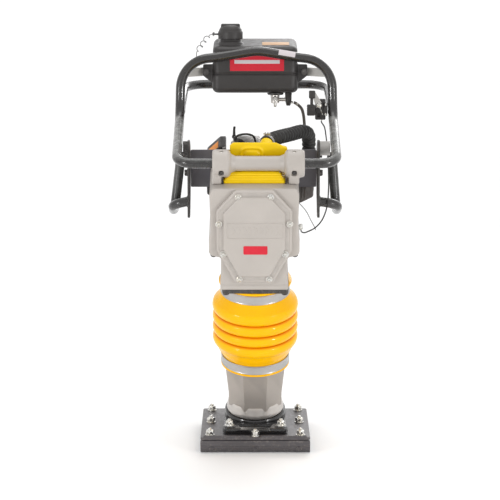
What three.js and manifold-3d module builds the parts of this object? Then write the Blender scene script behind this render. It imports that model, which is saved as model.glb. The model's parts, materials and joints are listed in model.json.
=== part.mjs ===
// A jumping jack rammer: a petrol-driven trench rammer on a flat shoe.
// Millimetres, +Z up, +Y towards the operator, origin at the middle of the sole on the ground.
// The foot casting stands upright. Everything above it leans forward (towards -Y) about X, and is
// written in the leaning frame: x across, y backwards from the leg's axis, z up along that axis.
import * as THREE from "three";
import { mergeVertices } from "three/addons/utils/BufferGeometryUtils.js";
import Module from "manifold-3d";

const wasm = await Module();
wasm.setup();

// ---------------------------------------------------------------- driving dimensions
const GAP = 0.3;

const SHOE_WIDTH = 292;
const SHOE_LENGTH = 340;
const SOLE_THICK = 8;
const DECK_BOTTOM = 35;
const DECK_TOP = 43;
const SHOE_BOLT_X = 121;
const SHOE_BOLT_Y = 144;

const LEAN = THREE.MathUtils.degToRad(17);
const LEG_FOOT_Z = 89;

const LEG_TOP = 174;
const BELLOWS_BOTTOM = 141;
const BELLOWS_TOP = 391;
const GUIDE_BOTTOM = 200;
const CASE_BOTTOM = 405;
const CASE_TOP = 690;
const CASE_FRONT = -97;
const CASE_BACK = 75;
const CASE_WALL = 9;
const CASE_X = -3;

const GEAR_MODULE = 3.5;
const GEAR_TEETH = 46;
const PINION_TEETH = 13;
const CRANK_Z = 592;
const CRANK_THROW = 20;
const CONROD_LENGTH = 112;
const GEAR_FRONT = 20;
const GEAR_BACK = 36;
const PINION_Z = CRANK_Z - (GEAR_MODULE * (GEAR_TEETH + PINION_TEETH)) / 2;

const ENGINE_FRONT = 122.3;

const PIVOT_Y = -40;
const PIVOT_Z = 737;
const PIVOT_X = 5.7;
const BOSS_RADIUS = 36;
const BOSS_INNER = 69;
const BOSS_OUTER = { left: 116, right: 120 };

const TUBE_RADIUS = 12.7;
const FRAME_X = { left: 208, right: 203 };

const PLATE_X = { left: 171, right: 162 };
const PLATE_THICK = 6;

const FILTER_BASE_TOP = 716;
const HOSE_RADIUS = 19;

const TANK_WIDTH = 232;
const TANK_FRONT = 32;
const TANK_BACK = 190;
const TANK_BOTTOM = 944;
const FILLER = [-67, 92];
const THROTTLE_AXIS = [171, 914];
const TETHER_RADIUS = 7;

// ---------------------------------------------------------------- finishes
const CAST_GREY = { color: 0xd2cbc5, roughness: 0.45, metalness: 0.1 };
const ALUMINIUM = { color: 0xbeb9b4, roughness: 0.38, metalness: 0.8 };
const BLACK_PAINT = { color: 0x2a2827, roughness: 0.3, metalness: 0.2 };
const BLACK_PLASTIC = { color: 0x3f3c3b, roughness: 0.55, metalness: 0 };
const RUBBER = { color: 0x262524, roughness: 0.8, metalness: 0 };
const YELLOW_RUBBER = { color: 0xfac300, roughness: 0.35, metalness: 0 };
const YELLOW_PLASTIC = { color: 0xf0cd14, roughness: 0.4, metalness: 0 };
const STEEL = { color: 0xb8b8b6, roughness: 0.3, metalness: 0.9 };
const ZINC = { color: 0xcfcdc6, roughness: 0.25, metalness: 0.95 };
const SHOE_BLACK = { color: 0x5a5654, roughness: 0.55, metalness: 0.4 };
const DARK_STEEL = { color: 0x4a4846, roughness: 0.5, metalness: 0.5 };
const PAPER = { color: 0xe8dcc0, roughness: 0.9, metalness: 0 };

// ---------------------------------------------------------------- solids
function solid(piece) {
  if (!piece.isBufferGeometry) return piece;
  const bare = piece.clone();
  bare.deleteAttribute("normal");
  bare.deleteAttribute("uv");
  const merged = mergeVertices(bare, 1e-4);
  const corners = merged.index.array;
  const kept = [];
  for (let i = 0; i < corners.length; i += 3) {
    const [a, b, c] = corners.slice(i, i + 3);
    if (a !== b && b !== c && c !== a) kept.push(a, b, c);
  }
  const vertProperties = merged.attributes.position.array;
  const triVerts = new Uint32Array(kept);
  return new wasm.Manifold(new wasm.Mesh({ numProp: 3, vertProperties, triVerts }));
}

const join = (...pieces) => pieces.map(solid).reduce((a, b) => a.add(b));
const cut = (body, ...tools) => tools.map(solid).reduce((a, b) => a.subtract(b), solid(body));
const keep = (body, region) => solid(body).intersect(solid(region));

function geometryOf(piece) {
  if (piece.isBufferGeometry) return piece;
  const mesh = piece.getMesh();
  const geometry = new THREE.BufferGeometry();
  geometry.setAttribute("position", new THREE.BufferAttribute(mesh.vertProperties, 3));
  geometry.setIndex(new THREE.BufferAttribute(mesh.triVerts, 1));
  geometry.computeVertexNormals();
  return geometry;
}

function add(group, name, piece, finish) {
  const mesh = new THREE.Mesh(geometryOf(piece), new THREE.MeshStandardMaterial(finish));
  mesh.name = name;
  group.add(mesh);
}

// ---------------------------------------------------------------- basic shapes
function box([x0, x1], [y0, y1], [z0, z1]) {
  const block = new THREE.BoxGeometry(x1 - x0, y1 - y0, z1 - z0);
  return block.translate((x0 + x1) / 2, (y0 + y1) / 2, (z0 + z1) / 2);
}

// A round bar between two points.
function bar(from, to, radius, sides = 16) {
  const start = new THREE.Vector3(...from);
  const span = new THREE.Vector3(...to).sub(start);
  const rod = new THREE.CylinderGeometry(radius, radius, span.length(), sides);
  const up = new THREE.Vector3(0, 1, 0);
  rod.applyQuaternion(new THREE.Quaternion().setFromUnitVectors(up, span.clone().normalize()));
  return rod.translate(...start.addScaledVector(span, 0.5).toArray());
}

// A turned piece about the Z axis through (x, y). The profile holds [radius, z] points and runs
// anticlockwise: out along the bottom, up the outside and back in.
function turned(profile, sides = 24, x = 0, y = 0) {
  const lathe = new THREE.LatheGeometry(profile.map(([r, z]) => new THREE.Vector2(r, z)), sides);
  return lathe.rotateX(Math.PI / 2).translate(x, y, 0);
}

const ring = (inner, outer, z0, z1, sides = 24) =>
  turned([[inner, z0], [outer, z0], [outer, z1], [inner, z1], [inner, z0]], sides);

function outline(points, holes = []) {
  const shape = new THREE.Shape(points.map(([a, b]) => new THREE.Vector2(a, b)));
  shape.holes = holes.map((hole) => new THREE.Path(hole.map(([a, b]) => new THREE.Vector2(a, b))));
  return shape;
}

const extrude = (shape, depth) =>
  new THREE.ExtrudeGeometry(shape, { depth, bevelEnabled: false, curveSegments: 4 });

// An outline drawn from above, as [x, y], standing from z0 to z1.
const upright = (shape, z0, z1) => extrude(shape, z1 - z0).translate(0, 0, z0);

// An outline drawn from the front, as [x, z], running from y0 back to y1.
const lengthwise = (shape, y0, y1) =>
  extrude(shape, y1 - y0).rotateX(Math.PI / 2).translate(0, y1, 0);

// An outline drawn from the side, as [y, z], running across from x0 to x1.
function crosswise(shape, x0, x1) {
  const [x, y, z] = [[1, 0, 0], [0, 1, 0], [0, 0, 1]].map((axis) => new THREE.Vector3(...axis));
  const turn = new THREE.Matrix4().makeBasis(y, z, x);
  return extrude(shape, x1 - x0).applyMatrix4(turn).translate(x0, 0, 0);
}

// A round-cornered rectangle about (cx, cy).
function roundedOutline(width, height, radius, cx = 0, cy = 0, cornerSteps = 3) {
  const points = [];
  const corners = [[1, 1], [-1, 1], [-1, -1], [1, -1]];
  corners.forEach(([sx, sy], corner) => {
    for (let step = 0; step <= cornerSteps; step++) {
      const angle = ((corner + step / cornerSteps) * Math.PI) / 2;
      const x = cx + sx * (width / 2 - radius) + radius * Math.cos(angle);
      const y = cy + sy * (height / 2 - radius) + radius * Math.sin(angle);
      points.push([x, y]);
    }
  });
  return points;
}

const circlePoints = (radius, sides, cx = 0, cy = 0) =>
  Array.from({ length: sides }, (_, i) => [
    cx + radius * Math.cos((2 * Math.PI * (i + 0.5)) / sides),
    cy + radius * Math.sin((2 * Math.PI * (i + 0.5)) / sides),
  ]);

const inOrder = (a, b) => [Math.min(a, b), Math.max(a, b)];
const shifted = (points, dx) => points.map(([x, y]) => [x + dx, y]);
const mirrored = (points) => [...points, ...points.map(([x, y]) => [-x, y]).reverse()];

// ---------------------------------------------------------------- tubes
// A bent tube's centre line: straight runs between corners, each given as [x, y, z, bend radius].
class BentPath extends THREE.Curve {
  constructor(corners, bendStep = THREE.MathUtils.degToRad(20)) {
    super();
    const at = corners.map(([x, y, z]) => new THREE.Vector3(x, y, z));
    this.stations = [at[0]];
    for (let i = 1; i < at.length - 1; i++) {
      const back = at[i - 1].clone().sub(at[i]).normalize();
      const onward = at[i + 1].clone().sub(at[i]).normalize();
      const turn = Math.PI - back.angleTo(onward);
      const reach = corners[i][3] * Math.tan(turn / 2);
      const toCentre = back.clone().add(onward).normalize();
      const centre = at[i].clone().addScaledVector(toCentre, corners[i][3] / Math.cos(turn / 2));
      const start = at[i].clone().addScaledVector(back, reach).sub(centre);
      const axis = start.clone().cross(at[i].clone().addScaledVector(onward, reach).sub(centre));
      const steps = Math.max(1, Math.ceil(turn / bendStep));
      for (let k = 0; k <= steps; k++) {
        const arm = start.clone().applyAxisAngle(axis.clone().normalize(), (turn * k) / steps);
        this.stations.push(arm.add(centre));
      }
    }
    this.stations.push(at[at.length - 1]);
  }

  getPoint(t, target = new THREE.Vector3()) {
    const place = t * (this.stations.length - 1);
    const i = Math.min(Math.floor(place), this.stations.length - 2);
    return target.lerpVectors(this.stations[i], this.stations[i + 1], place - i);
  }

  getPointAt(t, target) {
    return this.getPoint(t, target);
  }

  getTangentAt(t, target = new THREE.Vector3()) {
    const last = this.stations.length - 1;
    const i = Math.round(t * last);
    const run = (k) => this.stations[k + 1].clone().sub(this.stations[k]).normalize();
    return target.copy(run(Math.max(i - 1, 0))).add(run(Math.min(i, last - 1))).normalize();
  }
}

class Helix extends THREE.Curve {
  constructor(radius, z0, z1, turns) {
    super();
    Object.assign(this, { radius, z0, z1, turns });
  }

  getPoint(t, target = new THREE.Vector3()) {
    const angle = 2 * Math.PI * this.turns * t;
    const z = this.z0 + (this.z1 - this.z0) * t;
    return target.set(this.radius * Math.cos(angle), this.radius * Math.sin(angle), z);
  }
}

function tubeAlong(path, radius, sides, steps) {
  const section = outline(circlePoints(radius, sides));
  return new THREE.ExtrudeGeometry(section, { extrudePath: path, steps });
}

function bentTube(corners, radius = TUBE_RADIUS, sides = 10) {
  const path = new BentPath(corners);
  return tubeAlong(path, radius, sides, path.stations.length - 1);
}

function softTube(points, radius, sides, steps) {
  const path = new THREE.CatmullRomCurve3(points.map((p) => new THREE.Vector3(...p)));
  return tubeAlong(path, radius, sides, steps);
}

// A spur gear's outline with straight-flanked teeth. phase is the angle of one tooth's middle.
function gearOutline(teeth, phase, cx, cy) {
  const pitchRadius = (GEAR_MODULE * teeth) / 2;
  const pitchAngle = (2 * Math.PI) / teeth;
  const root = pitchRadius - 1.2 * GEAR_MODULE;
  const tip = pitchRadius + 0.85 * GEAR_MODULE;
  const flank = [[root, -0.27], [tip, -0.09], [tip, 0.09], [root, 0.27]];
  const points = [];
  for (let tooth = 0; tooth < teeth; tooth++) {
    for (const [radius, share] of flank) {
      const angle = phase + (tooth + share) * pitchAngle;
      points.push([cx + radius * Math.cos(angle), cy + radius * Math.sin(angle)]);
    }
  }
  return outline(points);
}

// ---------------------------------------------------------------- the assembly
const rammer = new THREE.Group();
const leaning = new THREE.Group();
leaning.position.set(0, 0, LEG_FOOT_Z);
leaning.rotation.x = LEAN;
leaning.updateMatrix();
rammer.add(leaning);
const uprightToLeaning = leaning.matrix.clone().invert();
const inLeaningFrame = (geometry) => geometry.applyMatrix4(uprightToLeaning);

// ---- shoe: steel sole, laminated block and steel deck, held by eight bolts
const boltPlaces = [[0, -155], [0, 155]];
for (const x of [-SHOE_BOLT_X, SHOE_BOLT_X]) {
  for (const y of [-SHOE_BOLT_Y, 0, SHOE_BOLT_Y]) boltPlaces.push([x, y]);
}
const boltHoles = (radius, z0, z1) =>
  boltPlaces.map(([x, y]) => turned([[0, z0], [radius, z0], [radius, z1], [0, z1]], 6, x, y));

function soleProfile() {
  const front = -SHOE_LENGTH / 2;
  const back = SHOE_LENGTH / 2;
  return outline([
    [front + 12, 0], [back - 8, 0], [back, 6], [back, SOLE_THICK], [front + 16, SOLE_THICK],
    [front + 10, 12], [front + SOLE_THICK, 18], [front + SOLE_THICK, 34], [front, 34],
    [front, 14], [front + 3.5, 4.5],
  ]);
}
const soleTop = SOLE_THICK + GAP;
add(rammer, "shoe_sole_plate",
  cut(crosswise(soleProfile(), -SHOE_WIDTH / 2, SHOE_WIDTH / 2), ...boltHoles(11.5, -1, 20)),
  SHOE_BLACK);
const blockOutline = [[-140, -161.6], [140, -161.6], [140, 166], [-140, 166]];
const blockToe = outline([[-170, 0], [-150, 0], [-150, 8.6], [-155, 12.5], [-161.6, 20], [-170, 20]]);
const block = cut(upright(outline(blockOutline), soleTop, DECK_BOTTOM - GAP),
  crosswise(blockToe, -150, 150));
add(rammer, "shoe_block", cut(block, ...boltHoles(6.5, 0, 50)), BLACK_PLASTIC);
const deckOutline = outline(roundedOutline(SHOE_WIDTH, SHOE_LENGTH, 9, 0, 0, 2));
const deck = upright(deckOutline, DECK_BOTTOM, DECK_TOP);
const deckLips = [[-138, -15], [15, 138]].map((x) =>
  box(x, [-170, -164.5], [DECK_TOP - 2, DECK_TOP + 5]));
add(rammer, "shoe_deck_plate", cut(join(deck, ...deckLips), ...boltHoles(6.5, 0, 60)), SHOE_BLACK);

function shoeBolt(x, y) {
  const base = DECK_TOP + GAP;
  return turned([[0, 1.5], [11, 1.5], [11, 7.5], [6, 7.5], [6, base], [12.5, base], [12.5, base + 2.6],
    [9.6, base + 2.6], [9.6, base + 13], [6, base + 18], [0, base + 20]], 6, x, y);
}
boltPlaces.forEach(([x, y], i) => add(rammer, `shoe_bolt_${i + 1}`, shoeBolt(x, y), ZINC));

// ---- foot casting: a block on the deck with an inclined ring that carries the leg
const castingOutline = mirrored([[83.5, -140], [83.5, 0], [76, 66], [58, 122]]);
const relief = upright(outline([[-37, -141], [37, -141], [45, -100], [-45, -100]]), 56, 61);
const castingBlock = cut(upright(outline(castingOutline), DECK_TOP + GAP, 60), relief);
const castingRing = turned([[0, -60], [84, -60], [83, -14], [82, -GAP], [0, -GAP]], 28)
  .applyMatrix4(leaning.matrix);
const aboveDeck = box([-200, 200], [-200, 200], [DECK_TOP + GAP, 200]);
add(rammer, "foot_casting", keep(join(castingBlock, castingRing), aboveDeck), BLACK_PAINT);

// ---- leg: an eight-sided cast cone between a round foot and a round collar, with the spring
// cylinder inside it
const octagonal = (profile) => turned(profile, 8).rotateZ(Math.PI / 8).scale(1.035, 1, 1);
const legBody = octagonal([[0, 20], [75, 20], [75, 60], [83.4, 139], [0, 139]]);
const legFoot = turned([[0, 0], [77, 0], [77, 8], [70, 30], [0, 30]]);
const legCollar = turned([[0, 138], [80, 138], [82.6, 143], [82.6, LEG_TOP], [0, LEG_TOP]]);
const legBore = turned([[0, 13], [58.6, 13], [58.6, 147], [74, 152], [74, LEG_TOP + 1],
  [0, LEG_TOP + 1]]);
add(leaning, "leg_cylinder", cut(join(legBody, legFoot, legCollar), legBore), ALUMINIUM);
const springCylinder = [[0, 13.3], [58, 13.3], [58, 330], [20, 330], [20, 322], [54, 322],
  [54, 18], [0, 18]];
add(leaning, "spring_cylinder", turned(springCylinder, 16), STEEL);
add(leaning, "lower_spring", tubeAlong(new Helix(36, 26, 153, 3.5), 6.5, 5, 32), DARK_STEEL);
add(leaning, "upper_spring", tubeAlong(new Helix(36, 191, 313, 3.5), 6.5, 5, 32), DARK_STEEL);

// ---- piston rod: a piston between the two springs and an eye for the connecting rod
const eyeZ = CRANK_Z - CRANK_THROW - CONROD_LENGTH;
const rodShoulder = eyeZ - 55;
const rodProfile = [[0, 160], [50, 160], [52.5, 163], [52.5, 181], [50, 184], [14, 184],
  [14, rodShoulder], [0, rodShoulder]];
const eyeOutline = [[-11, rodShoulder - 2], [11, rodShoulder - 2], [18, eyeZ], [12, eyeZ + 15],
  [0, eyeZ + 18], [-12, eyeZ + 15], [-18, eyeZ]];
const rodEye = lengthwise(outline(eyeOutline), -7, 7);
const rodPin = bar([0, -7.8, eyeZ], [0, 7.8, eyeZ], 6.5, 10);
add(leaning, "piston_rod", join(turned(rodProfile, 16), rodEye, rodPin), STEEL);

// ---- bellows and its two clamp bands
const bellowsOutside = [[92.5, BELLOWS_BOTTOM], [92.5, 145], [90, 147], [90, 174], [95, 188],
  [109, 208], [114, 222], [105.5, 237.5], [114, 252.5], [105.5, 267.5], [114, 283], [106, 300],
  [114.5, 316.5], [109, 334], [94, 349], [90, 355], [90, 382], [97, 384], [97, BELLOWS_TOP]];
const bellowsInside = [[83.3, BELLOWS_TOP], [83.3, 352], [100, 330], [98, 207],
  [83.3, 178], [83.3, BELLOWS_BOTTOM], [92.5, BELLOWS_BOTTOM]];
add(leaning, "bellows", turned([...bellowsOutside, ...bellowsInside], 24), YELLOW_RUBBER);

function clampBand(z0, z1) {
  const band = ring(90.4, 92.8, z0, z1);
  const lug = box([-11, 11], [92, 101], [z0 + 3, z1 - 3]);
  return join(band, lug);
}
add(leaning, "lower_clamp_band", clampBand(147.8, 172.4), STEEL);
add(leaning, "upper_clamp_band", clampBand(355.6, 381.4), STEEL);

// ---- guide cylinder: slides over the spring cylinder and bolts under the crankcase
const guideProfile = [[60.6, GUIDE_BOTTOM], [68, GUIDE_BOTTOM], [68, 346], [82.8, 350], [82.8, 393],
  [60.6, 393], [60.6, GUIDE_BOTTOM]];
const guideFlange = upright(outline(roundedOutline(174, 180, 10, 0, -6, 2)),
  392, CASE_BOTTOM - GAP);
const guideFlangeBore = turned([[0, 380], [60.6, 380], [60.6, 410], [0, 410]], 24);
const flangeBolts = [-77, 77].flatMap((x) =>
  [-84, 74].map((y) => bar([x, y, 384], [x, y, 393], 8, 6)));
add(leaning, "guide_cylinder",
  cut(join(turned(guideProfile, 24), guideFlange, ...flangeBolts), guideFlangeBore), DARK_STEEL);

// ---- crankcase: a hollow casting, open at the front under its cover, a little left of the leg
const onCase = (halfOutline) => outline(shifted(mirrored(halfOutline), CASE_X));
const caseOutline = [[88, CASE_BOTTOM], [88, 417], [86, 418], [86, 498], [112, 500], [117, 507],
  [117, 552], [112, 562], [115, 680], [107, CASE_TOP]];
const caseHollow = [[86 - CASE_WALL, CASE_BOTTOM + 10], [86 - CASE_WALL, 500],
  [112 - CASE_WALL, 512], [114 - CASE_WALL, 676], [98, CASE_TOP - CASE_WALL]];
const coverOutline = [[50, 432], [97, 523], [97, 634], [47, 691]];
const coverOpening = [[40, 448], [81, 527], [81, 628], [40, 675]];
const clutchAxis = (y0, y1, radius, sides) => bar([0, y0, PINION_Z], [0, y1, PINION_Z], radius, sides);
const caseBody = join(
  lengthwise(onCase(caseOutline), CASE_FRONT, CASE_BACK),
  clutchAxis(CASE_BACK - 1, 122, 64, 24),
);
add(leaning, "crankcase", cut(caseBody,
  lengthwise(onCase(caseHollow), CASE_FRONT + CASE_WALL, CASE_BACK - CASE_WALL),
  lengthwise(onCase(coverOpening), CASE_FRONT - 1, CASE_FRONT + CASE_WALL + 1),
  turned([[0, 400], [62, 400], [62, 420], [0, 420]], 24),
  bar([0, 60, CRANK_Z], [0, CASE_BACK + 1, CRANK_Z], 31.5, 20),
  clutchAxis(60, 130, 14, 16),
  clutchAxis(CASE_BACK + 4, 130, 56, 24)), CAST_GREY);

const coverShell = join(
  lengthwise(onCase(coverOutline), CASE_FRONT - 12, CASE_FRONT - GAP),
  lengthwise(onCase([[38, 452], [76, 528], [76, 624], [38, 668]]), CASE_FRONT - 17, CASE_FRONT - 10),
);
const coverPocket = lengthwise(onCase([[32, 458], [70, 530], [70, 620], [32, 660]]),
  CASE_FRONT - 12, CASE_FRONT + 1);
add(leaning, "crankcase_cover", cut(coverShell, coverPocket), CAST_GREY);

// ---- crank gear, connecting rod, and the pinion with its clutch drum
const downwards = -Math.PI / 2;
const crankPinZ = CRANK_Z - CRANK_THROW;
const gearDisc = lengthwise(gearOutline(GEAR_TEETH, downwards, 0, CRANK_Z), GEAR_FRONT, GEAR_BACK);
add(leaning, "crank_gear", join(
  gearDisc,
  bar([0, -11, crankPinZ], [0, GEAR_FRONT + 1, crankPinZ], 12, 16),
  bar([0, GEAR_BACK - 1, CRANK_Z], [0, CASE_BACK - 2, CRANK_Z], 17, 20)), STEEL);
const race = (radius) => circlePoints(radius, 20, 0, CRANK_Z);
const bearing = lengthwise(outline(race(31.1), [race(17.8)]), 58, CASE_BACK - 1);
add(leaning, "crank_bearing", bearing, STEEL);

const bigEnd = cut(bar([0, -8, crankPinZ], [0, 8, crankPinZ], 24, 20),
  bar([0, -9, crankPinZ], [0, 9, crankPinZ], 12.7, 16));
const shank = box([-9, 9], [-8, 8], [crankPinZ - 44, crankPinZ - 20]);
const bridge = box([-13, 13], [-15, 15], [crankPinZ - 50, crankPinZ - 36]);
const tines = [[-15, -8.3], [8.3, 15]].map((y) => box([-12, 12], y, [eyeZ - 13, crankPinZ - 48]));
add(leaning, "connecting_rod", join(bigEnd, shank, bridge, ...tines), STEEL);

const pinionPhase = Math.PI / 2 + Math.PI / PINION_TEETH;
const pinion = lengthwise(gearOutline(PINION_TEETH, pinionPhase, 0, PINION_Z), GEAR_FRONT, GEAR_BACK);
const drumWall = (radius) => circlePoints(radius, 24, 0, PINION_Z);
const drum = lengthwise(outline(drumWall(50), [drumWall(46)]), 84, 112);
add(leaning, "clutch_drum", join(pinion, clutchAxis(GEAR_BACK - 1, 85, 12, 16),
  clutchAxis(80, 86, 50, 24), drum), STEEL);

// ---- engine: block with a finned cylinder, flywheel and clutch hub, fan housing, muffler
const blockSide = mirrored([[80, 425], [84, 470], [84, 545], [62, 560]]);
const blockBody = lengthwise(outline(blockSide), ENGINE_FRONT, 232);
const cylinderBody = box([-50, 50], [134, 220], [555, 700]);
const fins = Array.from({ length: 8 }, (_, i) =>
  box([-66, 66], [126, 228], [572 + i * 17, 576 + i * 17]));
const outputBore = clutchAxis(100, 240, 15, 16);
add(leaning, "engine_block", cut(join(blockBody, cylinderBody, ...fins), outputBore), ALUMINIUM);
add(leaning, "flywheel", join(
  clutchAxis(92, 246, 11, 12),
  clutchAxis(92, 108, 40, 20),
  clutchAxis(240, 262, 84, 28)), DARK_STEEL);

const fanCup = cut(clutchAxis(234, 290, 98, 28), clutchAxis(233, 284, 93, 28),
  ...[-60, -30, 0, 30, 60].map((x) => box([x - 6, x + 6], [280, 292], [PINION_Z - 72, PINION_Z - 24])));
const ductOutline = [[-130, 560], [-78, 560], [-78, 702], [-94, 702], [-130, 668]];
const airDuct = lengthwise(outline(ductOutline), 160, 238);
const ductFoot = box([-97, -80], [236, 270], [520, 600]);
const ductCut = clutchAxis(225, 300, 93.2, 28);
const gripZ = PINION_Z + 62;
const starterGuide = bar([0, 283, gripZ], [0, 297, gripZ], 14, 12);
add(leaning, "fan_housing",
  join(cut(join(airDuct, ductFoot), ductCut), fanCup, starterGuide), BLACK_PLASTIC);
const gripBody = join(bar([-34, 310, gripZ], [34, 310, gripZ], 9, 12),
  bar([0, 298.7, gripZ], [0, 310, gripZ], 7, 10));
add(leaning, "starter_grip", gripBody, RUBBER);

const mufflerOutline = [[86, 548], [122, 548], [156, 566], [156, 612], [86, 612]];
add(leaning, "muffler", join(lengthwise(outline(mufflerOutline), 134, 214),
  bar([66.4, 174, 590], [88, 174, 590], 12, 12)), BLACK_PAINT);
add(leaning, "heat_shield", crosswise(outline([[136, 704], [214, 704], [214, 713], [150, 713],
  [136, 709]]), -48, 12), STEEL);
add(leaning, "spark_plug_cap", join(bar([-36, 150, 713.6], [-36, 150, 722], 9, 10),
  bar([-36, 150, 720], [-50, 142, 726], 8, 10)), RUBBER);

// ---- carburettor, intake hose and air filter
const hoseRoute = [[30, -160, 826], [31.1, -154.5, 828.2], [42, -134, 833], [62, -108, 837],
  [95, -50, 840], [127, 0, 843], [143, 36, 832], [146, 57, 806], [146, 60, 784], [146, 60, 776.6]];
add(rammer, "intake_hose", softTube(hoseRoute, HOSE_RADIUS, 10, 18), RUBBER);
add(rammer, "carburettor", join(
  bar([146, 60, 745], [146, 60, 775.6], 15, 14),
  box([126, 166], [42, 84], [700, 748]),
  bar([66, 60, 722], [128, 60, 722], 14, 14),
  bar([138, 82, 740], [138, 82, 786], 3, 8)), ALUMINIUM);
add(rammer, "choke_lever", join(
  box([-62, -53], [88, 92], [820, 850]),
  bar([-57.5, 84, 822], [-57.5, 90, 822], 6, 10)), BLACK_PLASTIC);

const baseOutline = [[-83, CASE_TOP + 0.5], [77, CASE_TOP + 0.5], [77, 699], [68, 700.5],
  [68, FILTER_BASE_TOP], [-57, FILTER_BASE_TOP], [-57, 700.5], [-83, 699]];
add(leaning, "air_filter_base", lengthwise(outline(baseOutline), -63, 58), YELLOW_PLASTIC);
const coverTop = [[-66, FILTER_BASE_TOP + GAP], [82, FILTER_BASE_TOP + GAP], [82, 766], [52, 780],
  [-58, 780], [-66, 772]];
const coverRoom = [[-62, 716], [78, 716], [78, 763], [51, 775], [-56, 775], [-62, 769]];
// The cover's top and its hollow both fall away behind the front edge.
const fallingTop = (drop) =>
  crosswise(outline([[-4, 700], [57, 700], [57, 754 - drop], [-4, 781 - drop]]), -90, 90);
const outletNeck = inLeaningFrame(bar([24, -188, 815], [29.5, -161.5, 825.4], 17, 16));
const outletBore = inLeaningFrame(bar([22.4, -196, 812], [30.2, -158, 826.8], 13.5, 16));
add(leaning, "air_filter_cover", cut(
  join(keep(lengthwise(outline(coverTop), -3, 56), fallingTop(0)), outletNeck),
  keep(lengthwise(outline(coverRoom), 1, 52), fallingTop(5)), outletBore), YELLOW_PLASTIC);
add(leaning, "filter_element", lengthwise(outline(roundedOutline(104, 24, 6, 4, 729)), 6, 45), PAPER);

// ---- handle mount: two bosses and a cross tube, bolted on top of the crankcase
const across = (x0, x1, radius, sides = 24) =>
  bar([PIVOT_X + x0, PIVOT_Y, PIVOT_Z], [PIVOT_X + x1, PIVOT_Y, PIVOT_Z], radius, sides);
const mountPads = [[-112.5, -86], [84, 112.5]].map((x) =>
  box(x, [-70, -12], [CASE_TOP + 0.5, 722]));
add(leaning, "handle_mount", cut(join(
  across(-BOSS_OUTER.left, -BOSS_INNER, BOSS_RADIUS, 28),
  across(BOSS_INNER, BOSS_OUTER.right, BOSS_RADIUS, 28),
  across(-BOSS_INNER - 1, BOSS_INNER + 1, 19, 20),
  ...mountPads),
across(-BOSS_OUTER.left - 1, -BOSS_INNER - 4, 22, 20),
across(BOSS_INNER + 4, BOSS_OUTER.right + 1, 22, 20)), CAST_GREY);
for (const [name, side] of [["left", -1], ["right", 1]]) {
  const ends = inOrder(side * (BOSS_INNER + 5), side * (BOSS_OUTER[name] - 1));
  const bush = cut(across(...ends, 21.2, 20), across(ends[0] - 1, ends[1] + 1, 13.4, 16));
  add(leaning, `rubber_bush_${name}`, bush, RUBBER);
}

// ---- handle frame: one bent tube from boss to boss, with the tank's brackets welded on
const pivot = new THREE.Vector3(PIVOT_X, PIVOT_Y, PIVOT_Z).applyMatrix4(leaning.matrix);
const halfFrame = (reach) => [
  [BOSS_INNER + 7, pivot.y, pivot.z],
  [reach, pivot.y, pivot.z, 42],
  [reach, 8, 884, 70],
  [reach - 4, 12, 1031, 82],
  [108, 12, 1041, 160],
];
const halfRear = (reach) => [[reach - 1, 25, 894.6], [reach - 3, 318, 952, 62]];
const loopOf = (half, middle = []) => [
  ...half(FRAME_X.right).map(([x, ...rest]) => [PIVOT_X + x, ...rest]),
  ...middle,
  ...half(FRAME_X.left).map(([x, ...rest]) => [PIVOT_X - x, ...rest]).reverse(),
];
const framePath = loopOf(halfFrame, [[PIVOT_X, 13, 1059, 150]]);
// A flat strap each side runs back from the tube to the tank's ear.
const tankBrackets = [[-1, 180], [1, 187]].map(([side, tubeX]) => {
  const plan = [[tubeX, 12], [tubeX + 4, 15], [145, 66.4], [122, 66.4], [122, 62.4], [142, 62.4]];
  return upright(outline(plan.map(([x, y]) => [side * x, y])), 988, 1012);
});
add(rammer, "handle_frame", join(bentTube(framePath), ...tankBrackets), BLACK_PAINT);
add(rammer, "rear_handle", bentTube(loopOf(halfRear)), BLACK_PAINT);

// ---- side plates with the guard tubes that protect the engine
const frameRoom = bentTube(framePath, TUBE_RADIUS + 2 * GAP);
for (const [name, side] of [["left", -1], ["right", 1]]) {
  const frameX = PIVOT_X * side + FRAME_X[name];
  const plateX = PLATE_X[name];
  const at = (x, y, z, ...rest) => [side * x, y, z, ...rest];
  const guardRoute = [at(frameX, -4, 878), at(frameX - 3, -50, 770, 120), at(216, -62, 632, 30),
    at(216, -150, 664, 30), at(plateX, -152, 672)];
  const plateSpan = inOrder(side * (plateX - 4), side * (plateX + PLATE_THICK + GAP));
  const plateRoom = box(plateSpan, [-200, -80], [620, 720]);
  add(rammer, `guard_tube_${name}`, cut(bentTube(guardRoute), frameRoom, plateRoom), BLACK_PAINT);
  const plateSide = outline([[-172, 631], [-128, 631], [-84, 690], [-84, 813], [-132, 832],
    [-166, 832], [-172, 813]]);
  const [inner, outer] = inOrder(side * plateX, side * (plateX + PLATE_THICK));
  const tabReach = frameX - TUBE_RADIUS - 1.2;
  const tab = box(inOrder(side * (plateX + 1), side * tabReach), [-164, -138], [797, 830]);
  add(rammer, `side_plate_${name}`, join(crosswise(plateSide, inner, outer), tab), DARK_STEEL);
}
const panelSpan = [0.5 - PLATE_X.left, PLATE_X.right - 0.5];
add(leaning, "cross_panel", join(
  box(panelSpan, [98, 101], [612, 718]),
  box(panelSpan, [98, 110], [612, 615])), BLACK_PLASTIC);

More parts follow.
